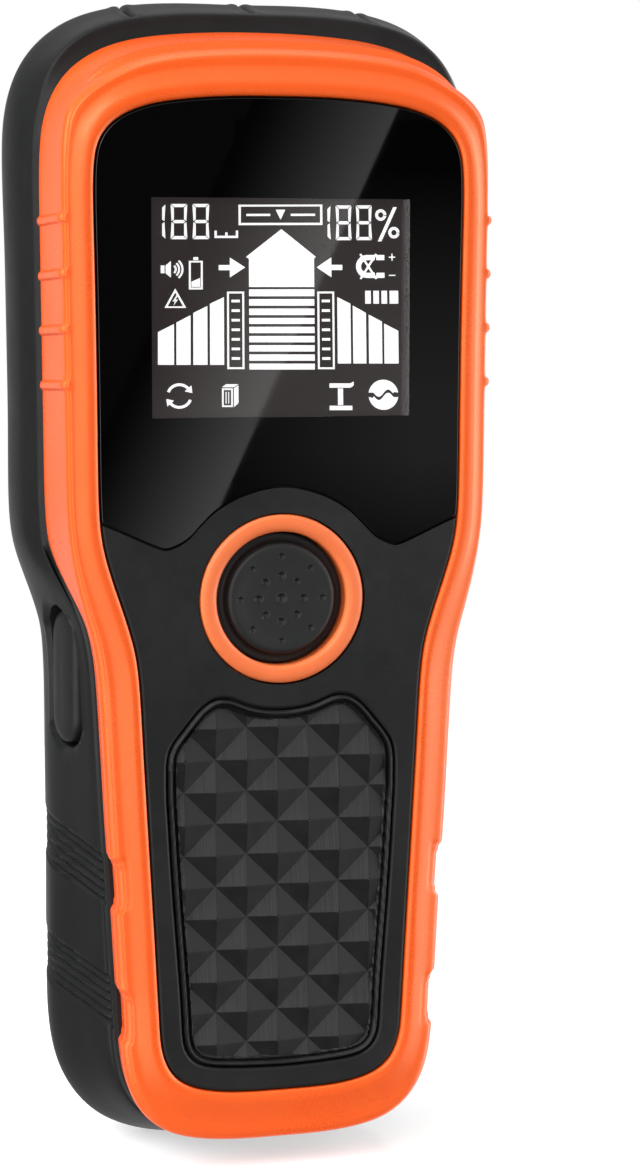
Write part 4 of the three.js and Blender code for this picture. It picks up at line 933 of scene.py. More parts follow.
def pad_piece():
    P, NX, SUB = 4.45, 5, 34
    s = P / SUB
    i = np.arange(-NX * SUB, NX * SUB + 1)
    j = np.arange(-11 * SUB, 3 * SUB + 1)
    gx, gz = np.meshgrid(i * s - 0.6, -23.9 + j * s)
    fi, fj = np.meshgrid(i / SUB, j / SUB)
    a, b = np.floor(fi), np.floor(fj)
    p, q = fi - a, fj - b
    even = (a + b) % 2 == 0
    # heights at the lattice corners are 0 (low) and 1 (apex), folded along the low diagonal of each cell
    height = np.where(even, np.abs(p - q), np.abs(p + q - 1))
    r = np.clip(height, 0, 1)
    depth = 1.0 - 0.78 * r + 0.05 * (r > 0.97)
    poly = PAD.xz(spread(PAD, lambda x, z: np.full_like(x, 0.6)))
    sd = signed_inside(poly, gx, gz)
    border = 0.16 + 0.55 * np.clip(np.abs(sd - 0.5) / 0.34, 0, 1) ** 2.4
    gut = 1.3
    t = smooth(0.8, 0.88, sd)
    depth2 = border * (1 - t) + gut * t
    edge = np.minimum(depth, 0.5)                  # low wall round the field, its top edge catches light
    t = smooth(1.12, 1.2, sd)
    depth2 = depth2 * (1 - t) + edge * t
    t = smooth(1.3, 1.42, sd)
    depth2 = depth2 * (1 - t) + depth * t
    rows, cols = depth2.shape
    top = np.stack([gx, depth2 - THICK, gz + ZS], -1).reshape(-1, 3)
    bot = np.stack([gx, np.full_like(gx, 1.78) - THICK, gz + ZS], -1).reshape(-1, 3)
    faces = []
    idx = np.arange(rows * cols).reshape(rows, cols)
    A, B_, C, D = idx[:-1, :-1], idx[:-1, 1:], idx[1:, 1:], idx[1:, :-1]
    ev = (((a + b) % 2 == 0)[:-1, :-1])
    for base, flip in ((0, False), (rows * cols, True)):
        q1 = np.stack([A[ev], B_[ev], C[ev]], -1)
        q2 = np.stack([A[ev], C[ev], D[ev]], -1)
        q3 = np.stack([A[~ev], B_[~ev], D[~ev]], -1)
        q4 = np.stack([B_[~ev], C[~ev], D[~ev]], -1)
        if flip:
            continue
        faces += np.vstack([q1, q2, q3, q4]).tolist()
    n0 = rows * cols
    corner = [n0 + idx[0, 0], n0 + idx[0, -1], n0 + idx[-1, -1], n0 + idx[-1, 0]]
    rim = list(idx[0, :]) + list(idx[1:, -1]) + list(idx[-1, -2::-1]) + list(idx[-2:0:-1, 0])
    v = np.vstack([top, bot])
    for k in range(len(rim)):
        u, w = rim[k], rim[(k + 1) % len(rim)]
        faces.append([u, w, n0 + w, n0 + u])
    faces.append([n0 + w for w in rim])
    ob = make("grip_pad_diamond", v, faces, body=None, smooth_angle=None)
    bm = bmesh.new()
    bm.from_mesh(ob.data)
    loose = [x for x in bm.verts if not x.link_faces]
    bmesh.ops.delete(bm, geom=loose, context="VERTS")
    bm.to_mesh(ob.data)
    bm.free()
    up = spread(PAD, lambda x, z: np.full_like(x, 0.3))
    boolean(ob, "INTERSECT", [prism(PAD.xz(up, -0.16), -2, 1.77)])
    outward(ob)
    shade(ob, 24)
    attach(ob, "housing")
    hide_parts("grip_pad")
    paint(ob, pad_material())
    return ob


def pad_material():
    """Rubber whose facets carry fine moulded lines, upright on the left-leaning facets and level on the right-leaning
    ones, with painted shade: each facet is painted lighter or darker by which way it faces, as if lit from the upper
    left.
    """
    m, nt, out = tree("grip_pad_rubber")
    p = node(nt, "ShaderNodeBsdfPrincipled")
    nt.links.new(p.outputs[0], out.inputs[0])
    co = node(nt, "ShaderNodeTexCoord").outputs["Object"]
    sep = node(nt, "ShaderNodeSeparateXYZ")
    nt.links.new(co, sep.inputs[0])
    geo = node(nt, "ShaderNodeNewGeometry")
    nrm = node(nt, "ShaderNodeSeparateXYZ")
    nt.links.new(geo.outputs["True Normal"], nrm.inputs[0])
    left = maths(nt, "LESS_THAN", nrm.outputs["X"], -0.03)
    right = maths(nt, "GREATER_THAN", nrm.outputs["X"], 0.03)
    up = maths(nt, "GREATER_THAN", nrm.outputs["Z"], 0.03)
    nw = maths(nt, "MULTIPLY", left, up)
    sw = maths(nt, "SUBTRACT", left, nw)
    sx = maths(nt, "SINE", maths(nt, "MULTIPLY", sep.outputs["X"], 2 * math.pi / 0.00032))
    mpx = node(nt, "ShaderNodeMapping")
    mpx.inputs["Scale"].default_value = (3600, 1, 60)
    nt.links.new(co, mpx.inputs["Vector"])
    sx = maths(nt, "ADD", maths(nt, "MULTIPLY", sx, 0.45), maprange(nt, noise(nt, mpx.outputs[0], 1.0, 2.0, 0.6), 0.35, 0.65, -0.75, 0.75))
    sz = maths(nt, "SINE", maths(nt, "MULTIPLY", sep.outputs["Z"], 2 * math.pi / 0.00029))
    lines = maths(nt, "ADD", maths(nt, "MULTIPLY", sx, nw), maths(nt, "MULTIPLY", sz, maths(nt, "MULTIPLY", maths(nt, "ADD", right, sw), 0.25)))
    mid = noise(nt, co, 420, 3.0, 0.55)
    fine = noise(nt, co, 5200, 2.0, 0.6)
    # painted facet shade: upper left facets are painted lighter as if lit, lower left facets painted darkest
    painted_facet_shade_and_grain = maths(nt, "ADD", 0.3, maths(nt, "SUBTRACT", maths(nt, "MULTIPLY", nw, 0.44), maths(nt, "MULTIPLY", sw, 0.22)))
    painted_facet_shade_and_grain = maths(nt, "ADD", painted_facet_shade_and_grain, maths(nt, "MULTIPLY", lines, 0.2))
    painted_facet_shade_and_grain = maths(nt, "ADD", painted_facet_shade_and_grain, maprange(nt, mid, 0.3, 0.7, -0.05, 0.05))
    # dark and light ends of the painted facet shade, plus the moulded lines and cloudy variation
    c = node(nt, "ShaderNodeMix", data_type="RGBA")
    c.inputs["A"].default_value = (0.0045, 0.0046, 0.0048, 1)
    c.inputs["B"].default_value = (0.040, 0.0405, 0.041, 1)
    nt.links.new(painted_facet_shade_and_grain, c.inputs["Factor"])
    nt.links.new(c.outputs["Result"], p.inputs["Base Color"])
    nt.links.new(maths(nt, "ADD", maprange(nt, mid, 0.3, 0.7, 0.42, 0.54), maprange(nt, fine, 0.3, 0.7, -0.03, 0.03)), p.inputs["Roughness"])
    p.inputs["Specular IOR Level"].default_value = 0.22
    b = node(nt, "ShaderNodeBump")
    b.inputs["Distance"].default_value = 0.00002
    b.inputs["Strength"].default_value = 0.8
    h = maths(nt, "ADD", maths(nt, "MULTIPLY", lines, 0.5), maths(nt, "MULTIPLY", fine, 0.5))
    nt.links.new(h, b.inputs["Height"])
    nt.links.new(b.outputs[0], p.inputs["Normal"])
    return m


# ------------------------------------------------------------------ scan button and its ring
def ring_piece():
    prof = curve2([(9.3, 4.6), (9.3, 1.3), (9.31, 0.75), (9.42, 0.4), (9.75, 0.14), (10.2, 0.03), (10.75, 0.02), (11.25, 0.12), (11.6, 0.38), (11.74, 0.75), (11.75, 1.2), (11.75, 3.35)],
                  [1, 2, 4, 5, 4, 4, 4, 5, 4, 3, 1])
    prof = np.vstack([prof, [(13.2, 3.35), (13.2, 4.6)]])
    rows = lathe(prof, 240)
    ob = loft("scan_button_ring", rows, closed=True, slot="ring_plastic", smooth_angle=35, replaces=("button_ring",))
    paint(ob, M["ring"])
    return ob


DIMPLES = [(0.0, 0.0, 0.66)] + [(3.2 * math.cos(math.radians(k * 45)), 3.2 * math.sin(math.radians(k * 45)), 0.52) for k in range(8)] + \
          [(5.9 * math.cos(math.radians(k * 45)), 5.9 * math.sin(math.radians(k * 45)), 0.42) for k in range(8)]


def cap_piece():
    seg = 288
    face = curve2([(0.0, 0.86), (2.5, 0.84), (4.8, 0.74), (6.4, 0.58), (7.1, 0.55), (7.5, 0.7), (7.72, 1.05), (7.82, 1.6), (7.95, 2.1), (8.3, 2.32), (8.8, 2.36), (9.0, 2.45)],
                  [14, 14, 12, 7, 5, 5, 5, 4, 4, 4, 3])
    face = face[1:]
    prof = np.vstack([face, [(9.0, 5.0), (10.1, 5.0), (10.1, 6.2), (7.6, 6.2), (7.6, 2.6), (1.9, 2.6), (1.9, 6.85)]])
    rows = lathe(prof, seg)
    x, z = rows[..., 0], rows[..., 2] - ZS - BUTTON_Z
    d = rows[..., 1] + THICK
    out = np.zeros_like(d)
    k = len(face)
    for cx, cz, r in DIMPLES:
        t = np.hypot(x - cx, z - cz) / r
        out += np.where(t < 1.25, 0.34 * np.clip(1 - t * t, 0, None) ** 0.7 - 0.05 * np.exp(-(((t - 1.08) / 0.12) ** 2)), 0.0)
    out[k:] = 0
    rows[..., 1] += out
    verts = rows.reshape(-1, 3)
    faces = grid_faces(len(prof), seg)
    n = len(verts)
    tip = np.array([0, 0.86 + 0.34 - THICK, BUTTON_Z + ZS])
    end = np.array([0, 6.85 - THICK, BUTTON_Z + ZS])
    verts = np.vstack([verts, tip, end])
    last = (len(prof) - 1) * seg
    faces += [[n, (i + 1) % seg, i] for i in range(seg)] + [[n + 1, last + i, last + (i + 1) % seg] for i in range(seg)]
    ob = make("scan_button_cap", verts, faces, body="scan_button", slot="button_rubber", smooth_angle=38, replaces=("main_button",))
    paint(ob, M["button"])
    return ob


# ------------------------------------------------------------------ side button
def side_piece():
    seg = 40
    levels = [(0.55, -3.3), (0.54, -2.4), (0.5, -1.7), (0.43, -1.05), (0.31, -0.55), (0.14, -0.22), (-0.1, -0.05), (-0.4, 0.0), (-1.0, 0.0), (-2.5, 0.0), (-2.5, 1.2), (-3.5, 1.2)]
    rings = []
    for off, grow in levels:
        rings.append(side_ring(off, grow, seg))
    body = loft("side_button_cap", np.array(rings), body=None, smooth_angle=None)
    x0, n = wall_x(SIDE_D) + 3.2, 32
    a = np.arange(n) * 2 * math.pi / n
    y, z = SIDE_D - THICK + 1.6 * np.cos(a), SIDE_Z + ZS + 1.6 * np.sin(a)
    post = loft("post", np.array([np.stack([np.full(n, xx), y, z], 1) for xx in (x0 - 0.5, -20.75)]), body=None, smooth_angle=None)
    boolean(body, "UNION", [post])
    outward(body)
    shade(body, 32)
    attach(body, "mode_button")
    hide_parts("side_button")
    paint(body, M["side"])
    return body


# ------------------------------------------------------------------ battery door
def door_piece():
    X, z0, z1 = DOOR["x"], DOOR["z0"], DOOR["z1"]
    outline = np.array(rounded(-X, X, z0, z1, 1.4, 10))
    rows = [(0.0, 29.9), (0.0, 31.5), (0.03, 31.66), (0.12, 31.81), (0.27, 31.89), (0.45, 31.9)]
    ob = loft("battery_door_panel", [ring_at(closed_inset(outline, a), d) for a, d in rows], body=None, smooth_angle=None)
    add = []
    for s in (-1, 1):
        a, b = (6, 11) if s > 0 else (-11, -6)
        add += [prism(rect(a, b, -20.2, -18.6), 28.4, 30.2), prism(rect(a + 0.01, b - 0.01, -18.9, -15.6), 28.41, 29.7)]
        c, e = (11.7, 12.9) if s > 0 else (-12.9, -11.7)
        add += [prism(rect(c, e, -70, -24), 28.3, 30.2)]
    add += [prism(rounded(-5, 5, z0 - 2.3, z0 + 0.4, 0.5, 5), 29.4, 31.9)]
    add += [prism(rect(-11.8, 11.8, zz - 0.5, zz + 0.5), 29.3, 30.0) for zz in (-62,)]
    boolean(ob, "UNION", add)
    # thumb dish
    n, rows2 = 72, []
    cy, r = 31.9 + 12.9, 14.0
    for t in np.linspace(180, 128, 22):
        rr = r * math.sin(math.radians(t))
        dd = cy + r * math.cos(math.radians(t))
        ang = np.arange(n) * 2 * math.pi / n
        rows2.append(np.stack([max(rr, 0.02) * np.cos(ang), np.full(n, dd - THICK), -66.5 + ZS + max(rr, 0.02) * np.sin(ang)], 1))
    dish = loft("dish", np.array(rows2), body=None, smooth_angle=None)
    boolean(ob, "DIFFERENCE", [dish])
    # ridges cut across the face above the dish
    cuts = [prism(rounded(-9, 9, zz - 0.35, zz + 0.35, 0.3, 4), 31.6, 33) for zz in (-57.0, -55.4, -53.8, -52.2)]
    boolean(ob, "DIFFERENCE", cuts)
    outward(ob)
    shade(ob, 30)
    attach(ob, "door")
    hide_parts("battery_door")
    paint(ob, M["shell"])
    return ob


# ------------------------------------------------------------------ screws
def screw_pieces():
    steel = metal("screw_steel", (0.52, 0.53, 0.55), rough=0.3, brushed=(3, 3, 3), bump=0.000004)

    def screw(name, shank, head, hh, length, place, flip, node_name):
        # profile from the tip: cone, thread turns, neck, pan head
        seg = 40
        prof = [(0.02, -length), (shank * 0.55, -length + 0.8)]
        y = -length + 0.9
        pitch = 0.62 if length > 10 else 0.5
        while y < -0.35:
            prof += [(shank * 0.82, y), (shank, y + pitch * 0.35), (shank, y + pitch * 0.5), (shank * 0.82, y + pitch * 0.85)]
            y += pitch
            if length > 10 and y > -length + 9:
                prof += [(shank * 0.86, y), (shank * 0.86, -0.2)]
                break
        prof += [(shank * 0.86, -0.02), (shank, 0.0), (head, 0.0), (head, hh * 0.4), (head * 0.95, hh * 0.66), (head * 0.82, hh * 0.88), (head * 0.6, hh), (0.02, hh)]
        prof = np.array(prof)
        a = np.arange(seg) * 2 * math.pi / seg
        sgn = -1.0 if flip else 1.0
        X, D, Z = place
        rings = np.array([np.stack([X + r * np.cos(a), np.full(seg, D - THICK + sgn * yy), Z + ZS + r * np.sin(a)], 1) for r, yy in prof])
        ob = loft(name, rings, body=None, smooth_angle=None)
        t0, t1 = (D + sgn * (hh - 0.62), D + sgn * (hh + 1))
        w = head * 0.58
        bars = [prism(rect(X - w, X + w, Z - 0.21, Z + 0.21), min(t0, t1), max(t0, t1)), prism(rect(X - 0.21, X + 0.21, Z - w, Z + w), min(t0, t1) + 0.004, max(t0, t1) + 0.01)]
        boolean(ob, "DIFFERENCE", bars)
        outward(ob)
        shade(ob, 34)
        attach(ob, "housing")
        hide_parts(node_name)
        paint(ob, steel)

    for k, (x, z) in enumerate(HOUSING_SCREWS):
        screw(f"case_screw_{k + 1}", 1.05, 2.0, 1.5, 21.5, (x, 27.05, z), False, f"housing_screw_{k + 1}")
    for k, (x, z) in enumerate(PCB_SCREWS):
        screw(f"pcb_screw_{k + 1}", 0.9, 1.8, 1.2, 6.4, (x, 12.1, z), False, f"board_screw_{k + 1}")
    for k, (x, z) in enumerate(((-18.0, 54.0), (18.0, 16.0))):
        screw(f"sense_screw_{k + 1}", 0.9, 1.8, 1.2, 2.6, (x, 26.7, z), True, f"sensor_screw_{k + 1}")


# ------------------------------------------------------------------ battery
def battery_piece():
    w, t, z0, h, d0 = 26.5 / 2, 17.5 / 2, -73.0, 46.4, 10.4
    cx, cd = 0.0, d0 + t
    base = np.array(rounded(-w, w, -t, t, 2.6, 10))
    prof = [(-1.2, 0.0), (-0.35, 0.02), (-0.08, 0.12), (0.0, 0.4), (0.0, 1.5), (-0.12, 1.75), (-0.12, 2.0), (0.0, 2.3), (0.0, h - 2.5), (-0.12, h - 2.2), (-0.12, h - 1.9), (0.0, h - 1.6), (0.0, h - 0.5), (-0.08, h - 0.15), (-0.35, h - 0.02), (-0.9, h), (-1.3, h - 0.4), (-2.2, h - 0.45)]
    rings = []
    for off, zz in prof:
        o = closed_inset(base, -off)
        rings.append(np.stack([cx + o[:, 0], cd + o[:, 1] - THICK, np.full(len(o), z0 + zz + ZS)], 1))
    ob = loft("nine_volt_battery", np.array(rings), slot="battery_can", smooth_angle=30, replaces=("battery_9v",))
    m, nt, out = tree("battery_sleeve")
    p = node(nt, "ShaderNodeBsdfPrincipled")
    nt.links.new(p.outputs[0], out.inputs[0])
    co = node(nt, "ShaderNodeTexCoord").outputs["Object"]
    sep = node(nt, "ShaderNodeSeparateXYZ")
    nt.links.new(co, sep.inputs[0])
    # sleeve colour: bare metal above a slanted line, green print below, plain thin bands between
    s = maths(nt, "ADD", sep.outputs["Z"], maths(nt, "MULTIPLY", sep.outputs["X"], 0.6))
    lower = maths(nt, "LESS_THAN", s, -0.043)
    line = maths(nt, "COMPARE", s, -0.0405)
    for i in line.node.inputs[2:3]:
        i.default_value = 0.0006
    c = node(nt, "ShaderNodeMix", data_type="RGBA")
    c.inputs["A"].default_value = (0.55, 0.56, 0.57, 1)
    c.inputs["B"].default_value = (0.004, 0.16, 0.075, 1)
    nt.links.new(maths(nt, "MAXIMUM", lower, line), c.inputs["Factor"])
    f = noise(nt, co, 700, 4, 0.6)
    v = node(nt, "ShaderNodeMix", data_type="RGBA", blend_type="MULTIPLY")
    nt.links.new(c.outputs["Result"], v.inputs["A"])
    g = node(nt, "ShaderNodeCombineColor")
    r = maprange(nt, f, 0.3, 0.7, 0.88, 1.0)
    for k in range(3):
        nt.links.new(r, g.inputs[k])
    nt.links.new(g.outputs[0], v.inputs["B"])
    v.inputs["Factor"].default_value = 1.0
    nt.links.new(v.outputs["Result"], p.inputs["Base Color"])
    nt.links.new(maths(nt, "SUBTRACT", 0.95, maths(nt, "MULTIPLY", maths(nt, "MAXIMUM", lower, line), 0.8)), p.inputs["Metallic"])
    nt.links.new(maprange(nt, f, 0.3, 0.7, 0.24, 0.36), p.inputs["Roughness"])
    paint(ob, m)
    return ob


# ------------------------------------------------------------------ rating label
def label_piece():
    base = rounded(-15, 15, 25, 45, 1.3, 12)
    rows = [(0.0, 31.62), (0.0, 31.74), (0.04, 31.79), (0.1, 31.8)]
    ob = loft("rating_plate", [ring_at(closed_inset(base, a), d) for a, d in rows], slot="label", smooth_angle=30, replaces=("rating_label",))
    m, nt, out = tree("label_foil")
    p = node(nt, "ShaderNodeBsdfPrincipled")
    nt.links.new(p.outputs[0], out.inputs[0])
    co = node(nt, "ShaderNodeTexCoord").outputs["Object"]
    sep = node(nt, "ShaderNodeSeparateXYZ")
    nt.links.new(co, sep.inputs[0])
    ax = maths(nt, "ABSOLUTE", sep.outputs["X"])
    az = maths(nt, "ABSOLUTE", maths(nt, "SUBTRACT", sep.outputs["Z"], 0.03565))
    e = maths(nt, "MAXIMUM", maths(nt, "SUBTRACT", ax, 0.005), az)
    frame_line = maths(nt, "COMPARE", e, 0.0088)
    frame_line.node.inputs[2].default_value = 0.00016
    # a blank band across the upper third
    bar = maths(nt, "COMPARE", sep.outputs["Z"], 0.0404)
    bar.node.inputs[2].default_value = 0.0018
    bar = maths(nt, "MULTIPLY", bar, maths(nt, "LESS_THAN", ax, 0.0122))
    ink = maths(nt, "MAXIMUM", frame_line, bar)
    c = node(nt, "ShaderNodeMix", data_type="RGBA")
    c.inputs["A"].default_value = (0.46, 0.47, 0.48, 1)
    c.inputs["B"].default_value = (0.03, 0.03, 0.032, 1)
    nt.links.new(ink, c.inputs["Factor"])
    nt.links.new(c.outputs["Result"], p.inputs["Base Color"])
    f = noise(nt, co, 1500, 3, 0.6)
    nt.links.new(maprange(nt, f, 0.3, 0.7, 0.34, 0.5), p.inputs["Roughness"])
    nt.links.new(maths(nt, "SUBTRACT", 0.35, maths(nt, "MULTIPLY", ink, 0.35)), p.inputs["Metallic"])
    paint(ob, m)
    return ob


# ------------------------------------------------------------------ finishes of the parts inside
def board_material():
    m, nt, out = tree("solder_mask")
    p = node(nt, "ShaderNodeBsdfPrincipled")
    nt.links.new(p.outputs[0], out.inputs[0])
    co = node(nt, "ShaderNodeTexCoord").outputs["Object"]
    mp = node(nt, "ShaderNodeMapping")
    mp.inputs["Rotation"].default_value = (math.radians(90), 0, 0)
    nt.links.new(co, mp.inputs["Vector"])
    # copper tracks as brick courses, seen as a lighter green under the mask
    br = node(nt, "ShaderNodeTexBrick")
    br.inputs["Scale"].default_value = 260
    br.inputs["Mortar Size"].default_value = 0.06
    br.inputs["Brick Width"].default_value = 1.9
    br.inputs["Row Height"].default_value = 0.42
    nt.links.new(mp.outputs[0], br.inputs["Vector"])
    vo = node(nt, "ShaderNodeTexVoronoi")
    vo.inputs["Scale"].default_value = 210
    nt.links.new(co, vo.inputs["Vector"])
    via = maths(nt, "LESS_THAN", vo.outputs["Distance"], 0.1)
    c = node(nt, "ShaderNodeMix", data_type="RGBA")
    c.inputs["A"].default_value = (0.006, 0.062, 0.022, 1)
    c.inputs["B"].default_value = (0.02, 0.16, 0.05, 1)
    nt.links.new(br.outputs["Fac"], c.inputs["Factor"])
    d = node(nt, "ShaderNodeMix", data_type="RGBA")
    nt.links.new(c.outputs["Result"], d.inputs["A"])
    d.inputs["B"].default_value = (0.62, 0.6, 0.52, 1)
    nt.links.new(via, d.inputs["Factor"])
    nt.links.new(d.outputs["Result"], p.inputs["Base Color"])
    nt.links.new(maprange(nt, noise(nt, co, 500, 3), 0.3, 0.7, 0.28, 0.42), p.inputs["Roughness"])
    b = node(nt, "ShaderNodeBump")
    b.inputs["Distance"].default_value = 0.00004
    nt.links.new(maths(nt, "ADD", br.outputs["Fac"], via), b.inputs["Height"])
    nt.links.new(b.outputs[0], p.inputs["Normal"])
    return m


def inside_finishes():
    board = board_material()
    chip = moulded("chip_resin", (0.016, 0.016, 0.017), rough=0.55, grain=0.00002, wear=0.4)
    black = moulded("black_nylon", (0.014, 0.014, 0.015), rough=0.48, wear=0.3)
    dark = moulded("switch_body", (0.035, 0.035, 0.037), rough=0.5, wear=0.3)
    table = {
        "lcd_backlight": moulded("light_guide", (0.82, 0.83, 0.8), rough=0.35, grain=0.000008, vary=0.04, wear=0.1, wear_color=(0.9, 0.9, 0.88)),
        "lcd_frame": moulded("lcd_holder", (0.66, 0.66, 0.63), rough=0.5, grain=0.00001, vary=0.05, wear=0.1, wear_color=(0.8, 0.8, 0.78)),
        "zebra_strip": moulded("zebra", (0.09, 0.06, 0.055), rough=0.75, wear=0.1),
        "main_board": board, "sensor_board": board,
        "controller_chip": chip, "memory_chip": chip, "analog_chip": chip,
        "crystal": metal("crystal_can", (0.62, 0.63, 0.65), rough=0.27, brushed=(1, 6, 1)),
        "buzzer": moulded("buzzer_shell", (0.012, 0.012, 0.013), rough=0.4, wear=0.4),
        "board_header": black, "main_switch_body": dark, "side_switch_body": dark,
        "main_switch_plunger": moulded("plunger_red", (0.27, 0.028, 0.016), rough=0.42, vary=0.05),
        "side_switch_plunger": moulded("plunger_white", (0.74, 0.72, 0.66), rough=0.42, vary=0.04, wear=0.1, wear_color=(0.85, 0.84, 0.8)),
        "metal_coil": metal("copper_wire", (0.72, 0.3, 0.13), rough=0.33, brushed=(40, 40, 40), bump=0.00005),
        "coil_core": moulded("ferrite", (0.04, 0.04, 0.042), rough=0.6, grain=0.00005, wear=0.3),
        "battery_positive_stud": metal("stud_nickel", (0.66, 0.66, 0.66), rough=0.25, brushed=(2, 2, 2)),
        "battery_snap": moulded("snap_vinyl", (0.011, 0.011, 0.012), rough=0.5, wear=0.3),
        "red_wire": moulded("wire_red", (0.42, 0.012, 0.012), rough=0.42, grain=0.000005, vary=0.05),
        "black_wire": moulded("wire_black", (0.01, 0.01, 0.011), rough=0.42, grain=0.000005, vary=0.05),
        "battery_foam": moulded("foam", (0.09, 0.092, 0.1), rough=0.92, grain=0.0004, grain_scale=1400, vary=0.25, wear=0.1),
    }
    table["battery_negative_stud"] = table["battery_positive_stud"]
    for name, mat in table.items():
        paint(nodes[name], mat)


# ------------------------------------------------------------------ camera, light and stage
CAM = np.array([-110.73, -413.13, 41.66])
A_, E_ = math.radians(16.2), math.radians(5.9)
RIGHT = np.array([math.cos(A_), -math.sin(A_), 0.0])
UP = np.array([math.sin(A_) * math.sin(E_), math.cos(A_) * math.sin(E_), math.cos(E_)])
AHEAD = np.array([math.sin(A_) * math.cos(E_), math.cos(A_) * math.cos(E_), -math.sin(E_)])


def camera():
    cam = bpy.data.cameras.new("camera")
    cam.lens, cam.sensor_width, cam.sensor_fit = 88.68, 36.0, "AUTO"
    cam.shift_x, cam.shift_y = 0.0315, 0.0
    cam.clip_start, cam.clip_end = 0.01, 50
    ob = bpy.data.objects.new("camera", cam)
    bpy.context.scene.collection.objects.link(ob)
    m = np.eye(4)
    m[:3, 0], m[:3, 1], m[:3, 2], m[:3, 3] = RIGHT, UP, -AHEAD, CAM / 1000
    ob.matrix_world = Matrix(m.tolist())
    bpy.context.scene.camera = ob


def area(name, loc, target, w, h, power, color=(1, 1, 1)):
    l = bpy.data.lights.new(name, "AREA")
    l.shape = "RECTANGLE"
    l.size, l.size_y = w, h
    l.energy = power
    l.color = color
    ob = bpy.data.objects.new(name, l)
    bpy.context.scene.collection.objects.link(ob)
    loc = Vector(loc)
    ob.location = loc
    ob.rotation_euler = (Vector(target) - loc).to_track_quat("-Z", "Y").to_euler()
    ob.visible_camera = False
    return ob


def glass_point(px, py):
    """Where the view ray through a place in the 640 x 1174 picture meets the window's face."""
    d = AHEAD + RIGHT * (px - 283) / 2892 - UP * (py - 587) / 2892
    t = (0.35 - THICK - CAM[1]) / d[1]
    return CAM + d * t


def bounce_point(px, py, y):
    """And where that ray ends on the plane at y after the mirror."""
    w = glass_point(px, py)
    v = w - CAM
    r = np.array([v[0], -v[1], v[2]])
    return w + r * ((y - w[1]) / r[1])


